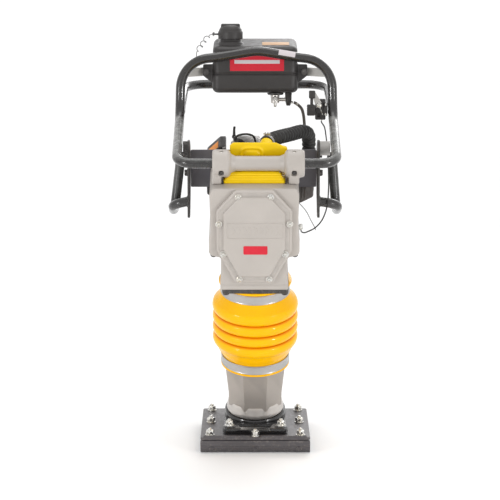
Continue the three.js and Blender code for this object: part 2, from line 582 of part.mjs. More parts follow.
// ---- fuel tank with its filler neck and cap
const tankSide = outline([[TANK_FRONT, TANK_BOTTOM], [TANK_BACK, TANK_BOTTOM], [TANK_BACK, 1084],
  [158, 1087], [TANK_FRONT, 1066]]);
const tankFront = outline(roundedOutline(TANK_WIDTH, 144, 15, 0, TANK_BOTTOM + 72));
const tankPlan = outline(roundedOutline(TANK_WIDTH, TANK_BACK - TANK_FRONT, 18, 0,
  (TANK_FRONT + TANK_BACK) / 2));
const tankBody = keep(keep(crosswise(tankSide, -TANK_WIDTH, TANK_WIDTH),
  lengthwise(tankFront, 0, 250)), upright(tankPlan, 900, 1100));
const fillerNeck = bar([...FILLER, 1060], [...FILLER, 1090], 28, 20);
const fillerBore = bar([...FILLER, 1020], [...FILLER, 1095], 19, 16);
const tankEars = [[-141, -113], [113, 141]].map((x) => box(x, [51, 62], [984, 1022]));
add(rammer, "fuel_tank", cut(join(tankBody, fillerNeck, ...tankEars), fillerBore), BLACK_PLASTIC);
const capProfile = [[29, 1087], [33.5, 1087], [33.5, 1106], [31, 1112], [28, 1124], [20, 1129],
  [0, 1129], [0, 1091], [29, 1091], [29, 1087]];
const capLug = box([FILLER[0] - 44, FILLER[0] - 30], [86, 98], [1098, 1103]);
const capRidge = box([FILLER[0] - 7, FILLER[0] + 7], [64, 120], [1108, 1128]);
add(rammer, "fuel_cap", join(turned(capProfile, 22, ...FILLER), capLug, capRidge), BLACK_PLASTIC);

// The curly wire that keeps the cap is one soft tube of its curls' outer width.
const tetherRoute = [[-112.6, 92, 1100.5], [-118, 91.6, 1100], [-129, 80, 1093], [-141, 56, 1077],
  [-151, 36, 1064], [-156, 26, 1057]];
add(rammer, "cap_tether", softTube(tetherRoute, TETHER_RADIUS, 8, 8), ZINC);

// ---- fuel tap, filter and hose
add(rammer, "fuel_tap", join(
  bar([55, 60, 940], [55, 60, TANK_BOTTOM - GAP], 22, 16),
  bar([54, 60, 916], [54, 60, 941], 12, 12),
  bar([60, 60, 925], [84, 60, 925], 4.5, 10),
  bar([90, 60, 909], [90, 60, 944], 9, 14),
  bar([92, 60, 919], [103, 60, 917], 4, 8)), ALUMINIUM);
add(rammer, "fuel_tap_lever", join(
  bar([54, 40, 928], [54, 47.6, 928], 7, 10),
  box([50, 58], [41, 45], [906, 928])), BLACK_PLASTIC);
const fuelRoute = [[104.4, 60, 916.7], [108, 60, 916], [116, 61.5, 911], [126, 64, 900],
  [131, 69, 884], [134, 75, 860], [136, 79, 830], [138, 82, 786.8]];
add(rammer, "fuel_hose", softTube(fuelRoute, 4, 8, 11), RUBBER);

// ---- throttle: clamp on the right-hand tube, lever and cable
add(rammer, "throttle_clamp", join(
  box([161, 189], [4, 26], [874, 930]),
  box([186, 193.6], [0, 30], [884, 920])), BLACK_PLASTIC);
add(rammer, "throttle_lever", join(
  bar([THROTTLE_AXIS[0], -14, THROTTLE_AXIS[1]], [THROTTLE_AXIS[0], 3.7, THROTTLE_AXIS[1]], 8, 12),
  lengthwise(outline([[163, 908], [179, 908], [177, 922], [160, 948], [152, 948]]), -12, -8),
  box([143, 161], [-20, -2], [932, 954]),
  box([148, 154], [-13, -8], [915, 934]),
  box([138, 160], [-18, -4], [886, 917]),
  box([150, 168], [-12, -8], [905, 914])), BLACK_PLASTIC);
const cableRoute = [[178, 15, 873.4], [178, 15, 868], [186, 12, 855], [190, -2, 832],
  [192, -60, 790], [193, -110, 740], [191, -158, 700], [186, -182, 660], [174, -184, 628],
  [157, -172, 606], [138, -154, 593], [128, -156, 590], [121, -156, 592.5], [119.5, -156, 597.6]];
add(rammer, "throttle_cable", softTube(cableRoute, 1.6, 8, 26), RUBBER);
add(rammer, "cable_fitting", join(
  bar([119.5, -156, 598], [119.5, -156, 614], 4.5, 8),
  bar([114.5, -156, 606], [120, -156, 606], 6, 8)), ZINC);

export default rammer;
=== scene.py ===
import json
import math
from collections import namedtuple

import bmesh
import bpy
from mathutils import Matrix, Vector


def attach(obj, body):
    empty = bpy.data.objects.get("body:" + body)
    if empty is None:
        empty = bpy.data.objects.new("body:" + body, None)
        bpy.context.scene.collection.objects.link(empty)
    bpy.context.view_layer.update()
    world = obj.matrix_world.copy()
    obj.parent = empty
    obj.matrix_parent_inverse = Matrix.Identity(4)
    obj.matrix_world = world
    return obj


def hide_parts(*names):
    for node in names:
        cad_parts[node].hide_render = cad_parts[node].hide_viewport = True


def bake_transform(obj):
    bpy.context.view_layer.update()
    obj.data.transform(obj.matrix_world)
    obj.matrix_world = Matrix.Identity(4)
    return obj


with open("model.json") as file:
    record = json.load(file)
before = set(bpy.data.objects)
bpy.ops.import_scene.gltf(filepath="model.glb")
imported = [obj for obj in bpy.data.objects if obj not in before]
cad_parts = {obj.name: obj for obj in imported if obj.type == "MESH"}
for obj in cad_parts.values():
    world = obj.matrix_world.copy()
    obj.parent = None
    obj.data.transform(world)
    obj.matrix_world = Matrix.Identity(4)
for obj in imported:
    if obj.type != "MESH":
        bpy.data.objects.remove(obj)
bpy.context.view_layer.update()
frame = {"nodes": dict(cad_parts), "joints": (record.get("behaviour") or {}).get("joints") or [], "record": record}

# A jumping jack rammer. Shapes are written in millimetres and become metres in piece().
# The foot stands upright. All above it leans forward: "leaning" shapes are written with x across,
# y backwards from the leg's axis and z up along that axis, measured from the leg's foot.
MM = 0.001
scene = bpy.context.scene

# ---------------------------------------------------------------- places taken from the frame
Box = namedtuple("Box", "x0 x1 y0 y1 z0 z1")
JOINTS = {j["name"]: j for j in frame["joints"]}
LEG_AXIS = Vector(JOINTS["ram_stroke"]["axis"]).normalized()


def corners_of(node):
    return [vertex.co for vertex in frame["nodes"][node].data.vertices]


FOOT_HEIGHT = min(LEG_AXIS.dot(p) for p in corners_of("leg_cylinder")) / LEG_AXIS.z
LEANING = (Matrix.Translation((0, 0, FOOT_HEIGHT))
           @ Matrix.Rotation(math.atan2(-LEG_AXIS.y, LEG_AXIS.z), 4, "X"))
UPRIGHT = Matrix.Identity(4)


def box_of(node, place=UPRIGHT):
    """A CAD node's box in millimetres, in the upright or the leaning frame."""
    points = [place.inverted() @ p / MM for p in corners_of(node)]
    spans = [(min(p[i] for p in points), max(p[i] for p in points)) for i in range(3)]
    return Box(*[value for span in spans for value in span])


def point_of(joint, place=UPRIGHT):
    return place.inverted() @ Vector(JOINTS[joint]["pos_m"]) / MM


# Both of these act on points in millimetres.
TO_LEANING = Matrix.Scale(1 / MM, 4) @ LEANING.inverted() @ Matrix.Scale(MM, 4)
TO_UPRIGHT = Matrix.Scale(1 / MM, 4) @ LEANING @ Matrix.Scale(MM, 4)


# ---------------------------------------------------------------- shapes
class Shape:
    """Points in millimetres and the faces between them."""

    def __init__(self, points=(), faces=()):
        self.points = [Vector(p) for p in points]
        self.faces = [tuple(face) for face in faces]

    def __add__(self, other):
        start = len(self.points)
        moved_on = [tuple(i + start for i in face) for face in other.faces]
        return Shape(self.points + other.points, self.faces + moved_on)

    def moved(self, matrix):
        return Shape([matrix @ p for p in self.points], self.faces)

    def mapped(self, change):
        return Shape([change(p) for p in self.points], self.faces)

    def at(self, x, y, z):
        return self.moved(Matrix.Translation((x, y, z)))


def together(shapes):
    return sum(shapes, Shape())


def loft(rings, caps=True):
    """A skin over rings that all have the same number of points."""
    count = len(rings[0])
    last = (len(rings) - 1) * count
    faces = []
    for start in range(0, last, count):
        for i in range(count):
            j = (i + 1) % count
            faces.append((start + i, start + j, start + count + j, start + count + i))
    if caps:
        faces.append(tuple(reversed(range(count))))
        faces.append(tuple(range(last, last + count)))
    return Shape([p for ring in rings for p in ring], faces)


def rounded(points, radius, closed=True, steps=4):
    """A flat line with arcs at its corners. A point may hold its own radius as its third value."""
    flat = [Vector(p[:2]) for p in points]
    count = len(flat)
    line = []
    for i, corner in enumerate(flat):
        if not closed and i in (0, count - 1):
            line.append(corner)
            continue
        back, onward = flat[i - 1] - corner, flat[(i + 1) % count] - corner
        own = points[i][2] if len(points[i]) > 2 else radius
        bend = math.pi - back.angle(onward)
        reach = min(own * math.tan(bend / 2), 0.49 * back.length, 0.49 * onward.length)
        start, end = corner + back.normalized() * reach, corner + onward.normalized() * reach
        for k in range(steps + 1):
            t = k / steps
            line.append(start * (1 - t) ** 2 + corner * 2 * t * (1 - t) + end * t * t)
    return line


def inset(points, distance):
    """Moves every edge of an anticlockwise outline inwards, keeping each corner's own radius."""
    moved = []
    for i, point in enumerate(points):
        a, b, c = [Vector(p[:2]) for p in (points[i - 1], point, points[(i + 1) % len(points)])]
        u, v = (b - a).normalized(), (c - b).normalized()
        across = Vector((-u.y - v.y, u.x + v.x))
        place = b + across * (distance / (1 + u.dot(v)))
        moved.append((*place, *[max(r - distance, 0.3) for r in point[2:]]))
    return moved


def terrace(points, radius, levels, steps=4):
    """A flat outline raised through (height, inset) levels, closed at both ends."""
    rings = []
    for height, distance in levels:
        line = rounded(inset(points, distance), max(radius - distance, 0.3), steps=steps)
        rings.append([(p.x, p.y, height) for p in line])
    return loft(rings)


QUARTER = [(1 - math.sin(a), 1 - math.cos(a)) for a in (0, math.pi / 6, math.pi / 3, math.pi / 2)]


def slab(points, radius, low, high, edge=1.0, steps=4):
    """An outline between two heights with rounded edges."""
    lower = [(low + edge * h, edge * d) for d, h in QUARTER]
    upper = [(high - edge * h, edge * d) for d, h in reversed(QUARTER)]
    return terrace(points, radius, lower + upper, steps)


def facing_front(shape):
    """Stands an outline drawn as (x, z) up, its height running backwards."""
    return shape.mapped(lambda p: Vector((p.x, p.z, p.y)))


def facing_side(shape):
    """Stands an outline drawn as (y, z) up, its height running across."""
    return shape.mapped(lambda p: Vector((p.z, p.x, p.y)))


def flipped(shape):
    """Turns a shape that grows backwards into one that grows forwards."""
    return shape.mapped(lambda p: Vector((p.x, -p.y, p.z)))


def rectangle(x0, x1, y0, y1):
    return [(x0, y0), (x1, y0), (x1, y1), (x0, y1)]


def block(x, y, z, edge=1.0, radius=1.5):
    return slab(rectangle(*x, *y), radius, *z, edge)


def mirrored(points):
    """Completes a right half, listed from the bottom up, into an anticlockwise outline."""
    return list(points) + [(-x, *rest) for x, *rest in reversed(points)]


def circle(radius, height, sides):
    turns = [2 * math.pi * (i + 0.5) / sides for i in range(sides)]
    return [(radius * math.cos(a), radius * math.sin(a), height) for a in turns]


def turned(profile, sides=64, radius=0.0, closed=False):
    """A profile of (radius, height) turned about Z. A closed one makes a hollow ring."""
    line = rounded(profile, radius, closed, 3) if radius else [Vector(p) for p in profile]
    rings = [circle(max(p.x, 1e-5), p.y, sides) for p in line]
    return loft(rings + rings[:1] if closed else rings, caps=not closed)


def aim(start, towards):
    """The matrix that stands a Z-up shape at start, pointing towards a direction."""
    turn = Vector(towards).to_track_quat("Z", "Y").to_matrix().to_4x4()
    return Matrix.Translation(Vector(start)) @ turn


def rod(start, end, radius, edge=0.6, sides=32):
    """A round bar with softened ends."""
    run = Vector(end) - Vector(start)
    profile = [(0, 0), (radius - edge, 0), (radius, edge), (radius, run.length - edge),
               (radius - edge, run.length), (0, run.length)]
    return turned(profile, sides).moved(aim(start, run))


def bent(corners, step=math.radians(5)):
    """A tube's centre line through corners (x, y, z, bend radius)."""
    at = [Vector(c[:3]) for c in corners]
    line = [at[0]]
    for i in range(1, len(at) - 1):
        back, onward = (at[i - 1] - at[i]).normalized(), (at[i + 1] - at[i]).normalized()
        bend = math.pi - back.angle(onward)
        radius = corners[i][3]
        centre = at[i] + (back + onward).normalized() * radius / math.cos(bend / 2)
        start = at[i] + back * radius * math.tan(bend / 2) - centre
        axis = back.cross(onward) * -1
        steps = max(2, math.ceil(bend / step))
        for k in range(steps + 1):
            line.append(centre + Matrix.Rotation(bend * k / steps, 3, axis) @ start)
    return line + [at[-1]]


def spline(points, spacing):
    """A smooth line through points: centripetal Catmull-Rom, as the CAD's soft tubes use."""
    at = [Vector(p) for p in points]
    at = [2 * at[0] - at[1]] + at + [2 * at[-1] - at[-2]]
    dense = []
    for a, b, c, d in zip(at, at[1:], at[2:], at[3:]):
        ab, bc, cd = [max((q - p).length, 1e-6) ** 0.5 for p, q in ((a, b), (b, c), (c, d))]
        leave = ((b - a) / ab - (c - a) / (ab + bc) + (c - b) / bc) * bc
        arrive = ((c - b) / bc - (d - b) / (bc + cd) + (d - c) / cd) * bc
        for k in range(24):
            t = k / 24
            dense.append(b * (2 * t**3 - 3 * t**2 + 1) + leave * (t**3 - 2 * t**2 + t)
                         + c * (3 * t**2 - 2 * t**3) + arrive * (t**3 - t**2))
    dense.append(at[-2])
    return evenly(dense, spacing)


def evenly(line, spacing):
    lengths = [0.0]
    for a, b in zip(line, line[1:]):
        lengths.append(lengths[-1] + (b - a).length)
    count = max(2, round(lengths[-1] / spacing))
    placed, i = [], 0
    for k in range(count + 1):
        wanted = lengths[-1] * k / count
        while i < len(line) - 2 and lengths[i + 1] < wanted:
            i += 1
        share = (wanted - lengths[i]) / max(lengths[i + 1] - lengths[i], 1e-9)
        placed.append(line[i].lerp(line[i + 1], share))
    return placed


def tube(line, radius, sides=24, caps=True):
    """A tube along a line. The radius is a number or a function of the length so far."""
    width = radius if callable(radius) else lambda run: radius
    tangents = [(line[min(i + 1, len(line) - 1)] - line[max(i - 1, 0)]).normalized()
                for i in range(len(line))]
    side = tangents[0].orthogonal().normalized()
    rings, run = [], 0.0
    for i, (point, tangent) in enumerate(zip(line, tangents)):
        if i:
            side = (tangents[i - 1].rotation_difference(tangent) @ side).normalized()
            run += (point - line[i - 1]).length
        other = tangent.cross(side)
        rings.append([point + (side * math.cos(a) + other * math.sin(a)) * width(run)
                      for a in [2 * math.pi * k / sides for k in range(sides)]])
    return loft(rings, caps)


def hexagon(across_flats, low, high, chamfer=1.0):
    """A hexagonal head or nut with its top corners turned off."""
    corner = across_flats / math.sqrt(3)
    sides = 48

    def ring(height, limit):
        points = []
        for i in range(sides):
            a = 2 * math.pi * i / sides
            wide = corner * math.cos(math.pi / 6) / math.cos((a % (math.pi / 3)) - math.pi / 6)
            reach = min(wide, limit)
            points.append((reach * math.cos(a), reach * math.sin(a), height))
        return points

    flat = across_flats / 2
    return loft([ring(low, flat * 0.97), ring(low + chamfer * 0.4, corner), ring(high - chamfer, corner),
                 ring(high - chamfer * 0.45, flat * 1.06), ring(high, flat * 0.95)])


def washer(radius, hole, low, high):
    return turned([(hole, low), (radius, low), (radius, high), (hole, high)], 40, 0.4, True)


def hex_bolt(size, washer_radius=None, head=None):
    """A hexagon-headed bolt of thread size, standing on z 0."""
    thick = 0.16 * size if washer_radius else 0
    head = head or 0.65 * size
    shape = hexagon(1.65 * size, thick, thick + head, 0.12 * size)
    if washer_radius:
        shape += washer(washer_radius, 0.4 * size, 0, thick)
    return shape


def dome_bolt(radius, height):
    """A round-headed screw with a hexagon socket."""
    head = [(radius, 0), (radius, 0.3 * height), (0.86 * radius, 0.7 * height),
            (0.6 * radius, height), (0.42 * radius, height), (0.36 * radius,
                                                              0.5 * height), (0, 0.5 * height)]
    return turned([(0, 0)] + head, 32)


# ---------------------------------------------------------------- pieces
def mesh_of(shape, place=UPRIGHT):
    mesh = bpy.data.meshes.new("mesh")
    mesh.from_pydata([p * MM for p in shape.points], [], shape.faces)
    work = bmesh.new()
    work.from_mesh(mesh)
    bmesh.ops.remove_doubles(work, verts=work.verts, dist=1e-3 * MM)
    bmesh.ops.recalc_face_normals(work, faces=work.faces)
    work.to_mesh(mesh)
    work.free()
    mesh.transform(place)
    return mesh


def loose(mesh):
    made = bpy.data.objects.new("loose", mesh)
    scene.collection.objects.link(made)
    return made


def applied(made):
    """The object's mesh with its modifiers applied. The object itself is removed."""
    bpy.context.view_layer.update()
    mesh = bpy.data.meshes.new_from_object(made.evaluated_get(bpy.context.evaluated_depsgraph_get()))
    bpy.data.objects.remove(made)
    return mesh


def cut(solids, tools, place=UPRIGHT):
    """The union of closed shapes, less the union of the tools."""
    made, tool = loose(mesh_of(together(solids), place)), loose(mesh_of(together(tools), place))
    change = made.modifiers.new("cut", "BOOLEAN")
    change.object, change.operation, change.solver, change.use_self = tool, "DIFFERENCE", "EXACT", True
    mesh = applied(made)
    bpy.data.objects.remove(tool)
    return mesh


def cast(mesh, grain=1.6, softness=6, kept=0.45):
    """A casting: the solids flow into each other and every edge is soft."""
    made = loose(mesh)
    skin = made.modifiers.new("skin", "REMESH")
    skin.mode, skin.voxel_size = "VOXEL", grain * MM
    flow = made.modifiers.new("flow", "SMOOTH")
    flow.factor, flow.iterations = 0.5, softness
    thin = made.modifiers.new("thin", "DECIMATE")
    thin.ratio = kept
    return applied(made)


# The record's slot of each finish that doesn't carry its slot's own name.
SLOTS = {"leg_metal": "cast_aluminium", "tube_sheen_paint": "black_paint", "guard_paint": "black_paint",
         "black_casting": "black_paint", "muffler_paint": "black_paint", "fuel_rubber": "black_rubber",
         "rope": "black_rubber", "panel_plastic": "black_plastic", "wire_grey": "zinc_plated",
         "band_steel": "steel", "bare_aluminium": "steel", "bracket_grey": "steel",
         "red_label": "black_plastic", "white_label": "black_plastic", "peach_label": "black_plastic",
         "orange_label": "black_plastic"}


def piece(name, shape, material, body, stands_for=(), place=UPRIGHT, sharp=38, slot=None):
    """One visible object: its mesh, its finish, the body it rides and the CAD nodes it stands for.

    A body of (first, second, start, end) leaves the piece unattached, where it stands."""
    mesh = mesh_of(shape, place) if isinstance(shape, Shape) else shape
    finish = material.name.split(".")[0]  # The frame's file may hold the bare name already.
    slot = slot or SLOTS.get(finish, finish)
    mesh.name = name
    mesh.materials.clear()
    mesh.materials.append(material)
    mesh.shade_smooth()
    mesh.set_sharp_from_angle(angle=math.radians(sharp))
    made = bpy.data.objects.new(name, mesh)
    scene.collection.objects.link(made)
    if isinstance(body, str):
        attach(made, body)
    else:
        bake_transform(made)
    if stands_for:
        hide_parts(*([stands_for] if isinstance(stands_for, str) else stands_for))
    return made


# ---------------------------------------------------------------- materials
class Paint:
    """A node material under construction, with short names for what the finishes repeat."""

    def __init__(self, name, **values):
        self.material = bpy.data.materials.new(name)
        self.material.use_nodes = True
        self.tree = self.material.node_tree
        self.shader = self.tree.nodes["Principled BSDF"]
        self.where = self.node("TexCoord").outputs["Object"]
        self.relief = None
        for socket, value in values.items():
            self.set(socket.replace("_", " "), value)

    def node(self, kind, sockets=None, **settings):
        made = self.tree.nodes.new("ShaderNode" + kind)
        for name, value in settings.items():
            setattr(made, name, value)
        for name, value in (sockets or {}).items():
            self.feed(made.inputs[name], value)
        return made

    def feed(self, socket, value):
        if isinstance(value, bpy.types.NodeSocket):
            self.tree.links.new(value, socket)
        else:
            socket.default_value = value

    def set(self, socket, value):
        self.feed(self.shader.inputs[socket], value)

    def noise(self, scale, detail=4, rough=0.55, stretch=(1, 1, 1), place=LEANING):
        """Noise of so many lumps a metre, stretched in the upright or the leaning frame."""
        turn = place.inverted().to_euler()
        spread = self.node("Mapping", {"Vector": self.where, "Rotation": turn})
        spread = self.node("Mapping", {"Vector": spread.outputs[0], "Scale": stretch})
        made = self.node("TexNoise", {"Vector": spread.outputs[0], "Scale": scale, "Detail": detail,
                                      "Roughness": rough})
        return made.outputs["Fac"]

    def ramp(self, source, *stops):
        made = self.node("ValToRGB", {"Fac": source})
        stops = [(place, (*([level] * 3), 1) if isinstance(level, (int, float)) else (*level, 1))
                 for place, level in stops]
        for element, (place, level) in zip(made.color_ramp.elements, stops):
            element.position, element.color = place, level
        for place, level in stops[2:]:
            made.color_ramp.elements.new(place).color = level
        return made.outputs["Color"]

    def mix(self, share, first, second, mode="MIX"):
        made = self.node("Mix", data_type="RGBA", blend_type=mode)
        for socket, value in zip((made.inputs[0], made.inputs[6], made.inputs[7]),
                                 (share, first, second)):
            self.feed(socket, (*value, 1) if isinstance(value, tuple) and len(value) == 3 else value)
        return made.outputs[2]

    def between(self, value, low, high):
        """0 at low and 1 at high, with a straight run between them."""
        made = self.node("MapRange", {"Value": value, "From Min": low, "From Max": high})
        return made.outputs[0]

    def edges(self, low=0.52, high=0.6):
        """White on worn, outward edges."""
        return self.ramp(self.node("NewGeometry").outputs["Pointiness"], (low, 0.0), (high, 1.0))

    def bump(self, height, strength, distance):
        sockets = {"Height": height, "Strength": strength, "Distance": distance * MM}
        if self.relief:
            sockets["Normal"] = self.relief
        self.relief = self.node("Bump", sockets).outputs["Normal"]
        self.set("Normal", self.relief)


def srgb(*levels):
    return tuple((c / 255 / 12.92) if c <= 10 else ((c / 255 + 0.055) / 1.055) ** 2.4 for c in levels)


def scaled(colour, factor):
    return tuple(min(1.0, c * factor) for c in colour)


def painted_casting(name, colour):
    """Powder paint over a sand casting: faint grain, slight clouding, and painted shade with some dirt in the
    hollows.
    """
    paint = Paint(name, Coat_Weight=0.25, Coat_Roughness=0.35)
    cloud = paint.ramp(paint.noise(9, 5), (0.3, 0.0), (0.72, 1.0))
    base = paint.mix(cloud, scaled(colour, 0.93), scaled(colour, 1.04))
    specks = paint.ramp(paint.noise(420, 2), (0.68, 0.0), (0.78, 0.35))
    base = paint.mix(specks, base, scaled(colour, 0.7))
    # Painted shade, partly dirt: a darker colour mixed in, in patches, wherever the surface is hollow.
    hollow = paint.ramp(paint.node("NewGeometry").outputs["Pointiness"], (0.42, 1.0), (0.495, 0.0))
    hollow_shade_and_dirt = paint.mix(hollow, (0, 0, 0), paint.ramp(paint.noise(40, 4), (0.4, 0.2), (0.65, 0.8)))
    paint.set("Base Color", paint.mix(hollow_shade_and_dirt, base, scaled(colour, 0.55)))
    paint.set("Roughness", paint.ramp(paint.noise(60, 5), (0.3, 0.36), (0.7, 0.52)))
    paint.bump(paint.noise(900, 3), 0.25, 0.12)
    paint.bump(paint.noise(230, 3), 0.2, 0.25)
    return paint.material


def gloss_paint(name, colour, chips=0.5, painted_sheen=None, span=(0.8, 0.9)):
    """Black stove enamel: orange peel, a little dust, bare metal on worn edges.

    The colour after chips is the paler colour of a painted highlight band on the tubes, standing in for their
    reflection; span is the band's lowest and highest place."""
    paint = Paint(name, Coat_Weight=0.6, Coat_Roughness=0.1)
    dust = paint.ramp(paint.noise(26, 6, 0.65), (0.45, 0.0), (0.8, 0.3))
    base = paint.mix(dust, colour, scaled(colour, 1.7))
    if painted_sheen:
        # Painted highlight: a paler, streaked band on the tubes between two heights, standing in for the lamps'
        # reflection in the black paint.
        at = paint.node("SeparateXYZ", {"Vector": paint.where}).outputs
        wander = {0: paint.noise(60, 4), 1: 0.03, 2: at["Z"]}
        ragged = paint.node("Math", wander, operation="MULTIPLY_ADD").outputs[0]
        below = paint.between(ragged, span[1] + 0.005, span[1] - 0.005)
        above = paint.between(ragged, span[0], span[0] + 0.025)
        share = paint.node("Math", {0: below, 1: above}, operation="MULTIPLY").outputs[0]
        sheen_streaks = paint.ramp(paint.noise(70, 4, 0.6, (1, 1, 0.1), UPRIGHT), (0.3, 0.25), (0.7, 1.0))
        share = paint.mix(1.0, share, sheen_streaks, "MULTIPLY")
        base = paint.mix(share, base, painted_sheen)
    fleck = paint.ramp(paint.noise(160, 6, 0.7), (0.66, 0.0), (0.7, chips))
    worn = paint.mix(1.0, paint.edges(0.53, 0.58), fleck, "MULTIPLY")
    paint.set("Base Color", paint.mix(worn, base, (0.32, 0.3, 0.28)))
    paint.set("Metallic", worn)
    paint.set("Roughness", paint.ramp(paint.noise(50, 6, 0.7), (0.35, 0.2), (0.75, 0.36)))
    paint.bump(paint.noise(330, 2), 0.12, 0.2 if chips else 0.03)
    return paint.material


def moulded_plastic(name, colour, roughness=0.45, grain=0.3):
    """Moulded plastic with a fine spark-eroded grain and handling marks."""
    paint = Paint(name)
    cloud = paint.ramp(paint.noise(14, 5), (0.3, 0.0), (0.75, 1.0))
    base = paint.mix(cloud, scaled(colour, 0.88), scaled(colour, 1.12))
    scuff = paint.ramp(paint.noise(90, 7, 0.75, (1, 1, 5)), (0.64, 0.0), (0.72, 0.5))
    paint.set("Base Color", paint.mix(scuff, base, scaled(colour, 1.7)))
    paint.set("Roughness", paint.ramp(paint.noise(70, 5), (0.3, roughness - 0.08),
                                      (0.7, roughness + 0.1)))
    paint.bump(paint.noise(1300, 2), grain, 0.06)
    paint.bump(paint.noise(30, 2), 0.08, 0.8)
    return paint.material


def soft_rubber(name, colour, roughness=0.62):
    paint = Paint(name)
    bloom = paint.ramp(paint.noise(35, 6, 0.65), (0.4, 0.0), (0.8, 0.7))
    paint.set("Base Color", paint.mix(bloom, colour, scaled(colour, 2.1)))
    paint.set("Roughness", paint.ramp(paint.noise(120, 4), (0.3, roughness - 0.1),
                                      (0.7, roughness + 0.12)))
    paint.bump(paint.noise(700, 3), 0.2, 0.08)
    return paint.material


def bellows_rubber():
    """Glossy polyurethane: a painted shade of deeper orange in its grooves, faint flow marks round it."""
    paint = Paint("yellow_rubber", Coat_Weight=0.5, Coat_Roughness=0.06, Coat_IOR=1.32,
                  Specular_IOR_Level=0.1)
    crease_shade = paint.node("Attribute", attribute_name="crease_shade").outputs["Fac"]
    cloud = paint.ramp(paint.noise(11, 5), (0.3, 0.0), (0.75, 1.0))
    base = paint.mix(cloud, srgb(250, 184, 0), srgb(254, 192, 0))
    # Painted shade: the colour deepens to orange near the creases between the rolls.
    base = paint.mix(crease_shade, base, srgb(222, 112, 0))
    grime = paint.ramp(paint.noise(70, 7, 0.7, (1, 1, 3)), (0.6, 0.0), (0.8, 0.12))
    paint.set("Base Color", paint.mix(grime, base, srgb(196, 140, 20)))
    paint.set("Roughness", paint.ramp(paint.noise(55, 5), (0.3, 0.24), (0.7, 0.36)))
    paint.bump(paint.noise(240, 3, 0.5, (1, 1, 4)), 0.12, 0.2)
    return paint.material


def yellow_moulding():
    paint = Paint("yellow_plastic", Coat_Weight=0.2, Coat_Roughness=0.2, Specular_IOR_Level=0.25)
    cloud = paint.ramp(paint.noise(16, 5), (0.3, 0.0), (0.7, 1.0))
    base = paint.mix(cloud, srgb(238, 196, 4), srgb(246, 208, 10))
    dirt = paint.ramp(paint.noise(60, 7, 0.7), (0.62, 0.0), (0.78, 0.2))
    paint.set("Base Color", paint.mix(dirt, base, srgb(190, 158, 40)))
    paint.set("Roughness", paint.ramp(paint.noise(80, 4), (0.3, 0.3), (0.7, 0.44)))
    paint.bump(paint.noise(1100, 2), 0.2, 0.06)
    return paint.material


def cast_metal(name, colour, roughness=0.34, metallic=1.0):
    """Bare cast aluminium: sandy skin, brighter on its worn edges."""
    paint = Paint(name, Metallic=metallic)
    cloud = paint.ramp(paint.noise(12, 6), (0.3, 0.0), (0.75, 1.0))
    base = paint.mix(cloud, scaled(colour, 0.9), scaled(colour, 1.06))
    paint.set("Base Color", paint.mix(paint.edges(), base, scaled(colour, 1.2)))
    paint.set("Roughness", paint.ramp(paint.noise(160, 5, 0.65), (0.3, roughness - 0.05),
                                      (0.7, roughness + 0.1)))
    paint.bump(paint.noise(760, 3), 0.22, 0.1)
    return paint.material


def drawn_steel(name, colour, stretch=(30, 30, 1), roughness=0.28):
    """Bright steel with fine marks along its rolling or turning direction."""
    paint = Paint(name, Metallic=1.0)
    lines = paint.noise(90, 5, 0.7, stretch)
    paint.set("Base Color", paint.ramp(lines, (0.3, scaled(colour, 0.86)), (0.7, scaled(colour, 1.08))))
    paint.set("Roughness", paint.ramp(paint.noise(40, 6, 0.7), (0.3, roughness - 0.07),
                                      (0.75, roughness + 0.12)))
    paint.bump(lines, 0.25, 0.05)
    return paint.material


def zinc_plate():
    """Passivated zinc: bright, a touch of gold, with dull handling spots."""
    paint = Paint("zinc_plated", Metallic=1.0)
    tint = paint.ramp(paint.noise(55, 4), (0.35, srgb(216, 216, 214)), (0.7, srgb(218, 213, 202)))
    spots = paint.ramp(paint.noise(300, 6, 0.7), (0.58, 0.0), (0.7, 0.6))
    paint.set("Base Color", paint.mix(spots, tint, srgb(150, 146, 138)))
    paint.set("Roughness", paint.ramp(paint.noise(220, 5), (0.3, 0.16), (0.75, 0.34)))
    paint.bump(paint.noise(500, 3), 0.2, 0.08)
    return paint.material


def shoe_enamel():
    """The shoe's grey-black paint, scuffed along the way it walks, bare on its edges."""
    paint = Paint("shoe_paint", Coat_Weight=0.2, Coat_Roughness=0.3)
    cloud = paint.ramp(paint.noise(10, 6), (0.3, 0.0), (0.75, 1.0))
    base = paint.mix(cloud, srgb(70, 66, 67), srgb(84, 80, 82))
    scrape = paint.ramp(paint.noise(60, 8, 0.75, (6, 0.6, 6), UPRIGHT), (0.64, 0.0), (0.74, 0.4))
    base = paint.mix(scrape, base, srgb(126, 120, 118))
    fleck = paint.ramp(paint.noise(120, 7, 0.75), (0.52, 0.0), (0.62, 0.7))
    worn = paint.mix(1.0, paint.edges(0.515, 0.56), fleck, "MULTIPLY")
    paint.set("Base Color", paint.mix(worn, base, srgb(150, 143, 138)))
    paint.set("Metallic", paint.mix(worn, (0.25, 0.25, 0.25), (0.9, 0.9, 0.9)))
    paint.set("Roughness", paint.ramp(paint.noise(45, 7, 0.7, (3, 1, 3), UPRIGHT), (0.3, 0.3),
                                      (0.75, 0.55)))
    paint.bump(paint.noise(520, 4), 0.15, 0.1)
    paint.bump(scrape, 0.15, 0.1)
    return paint.material


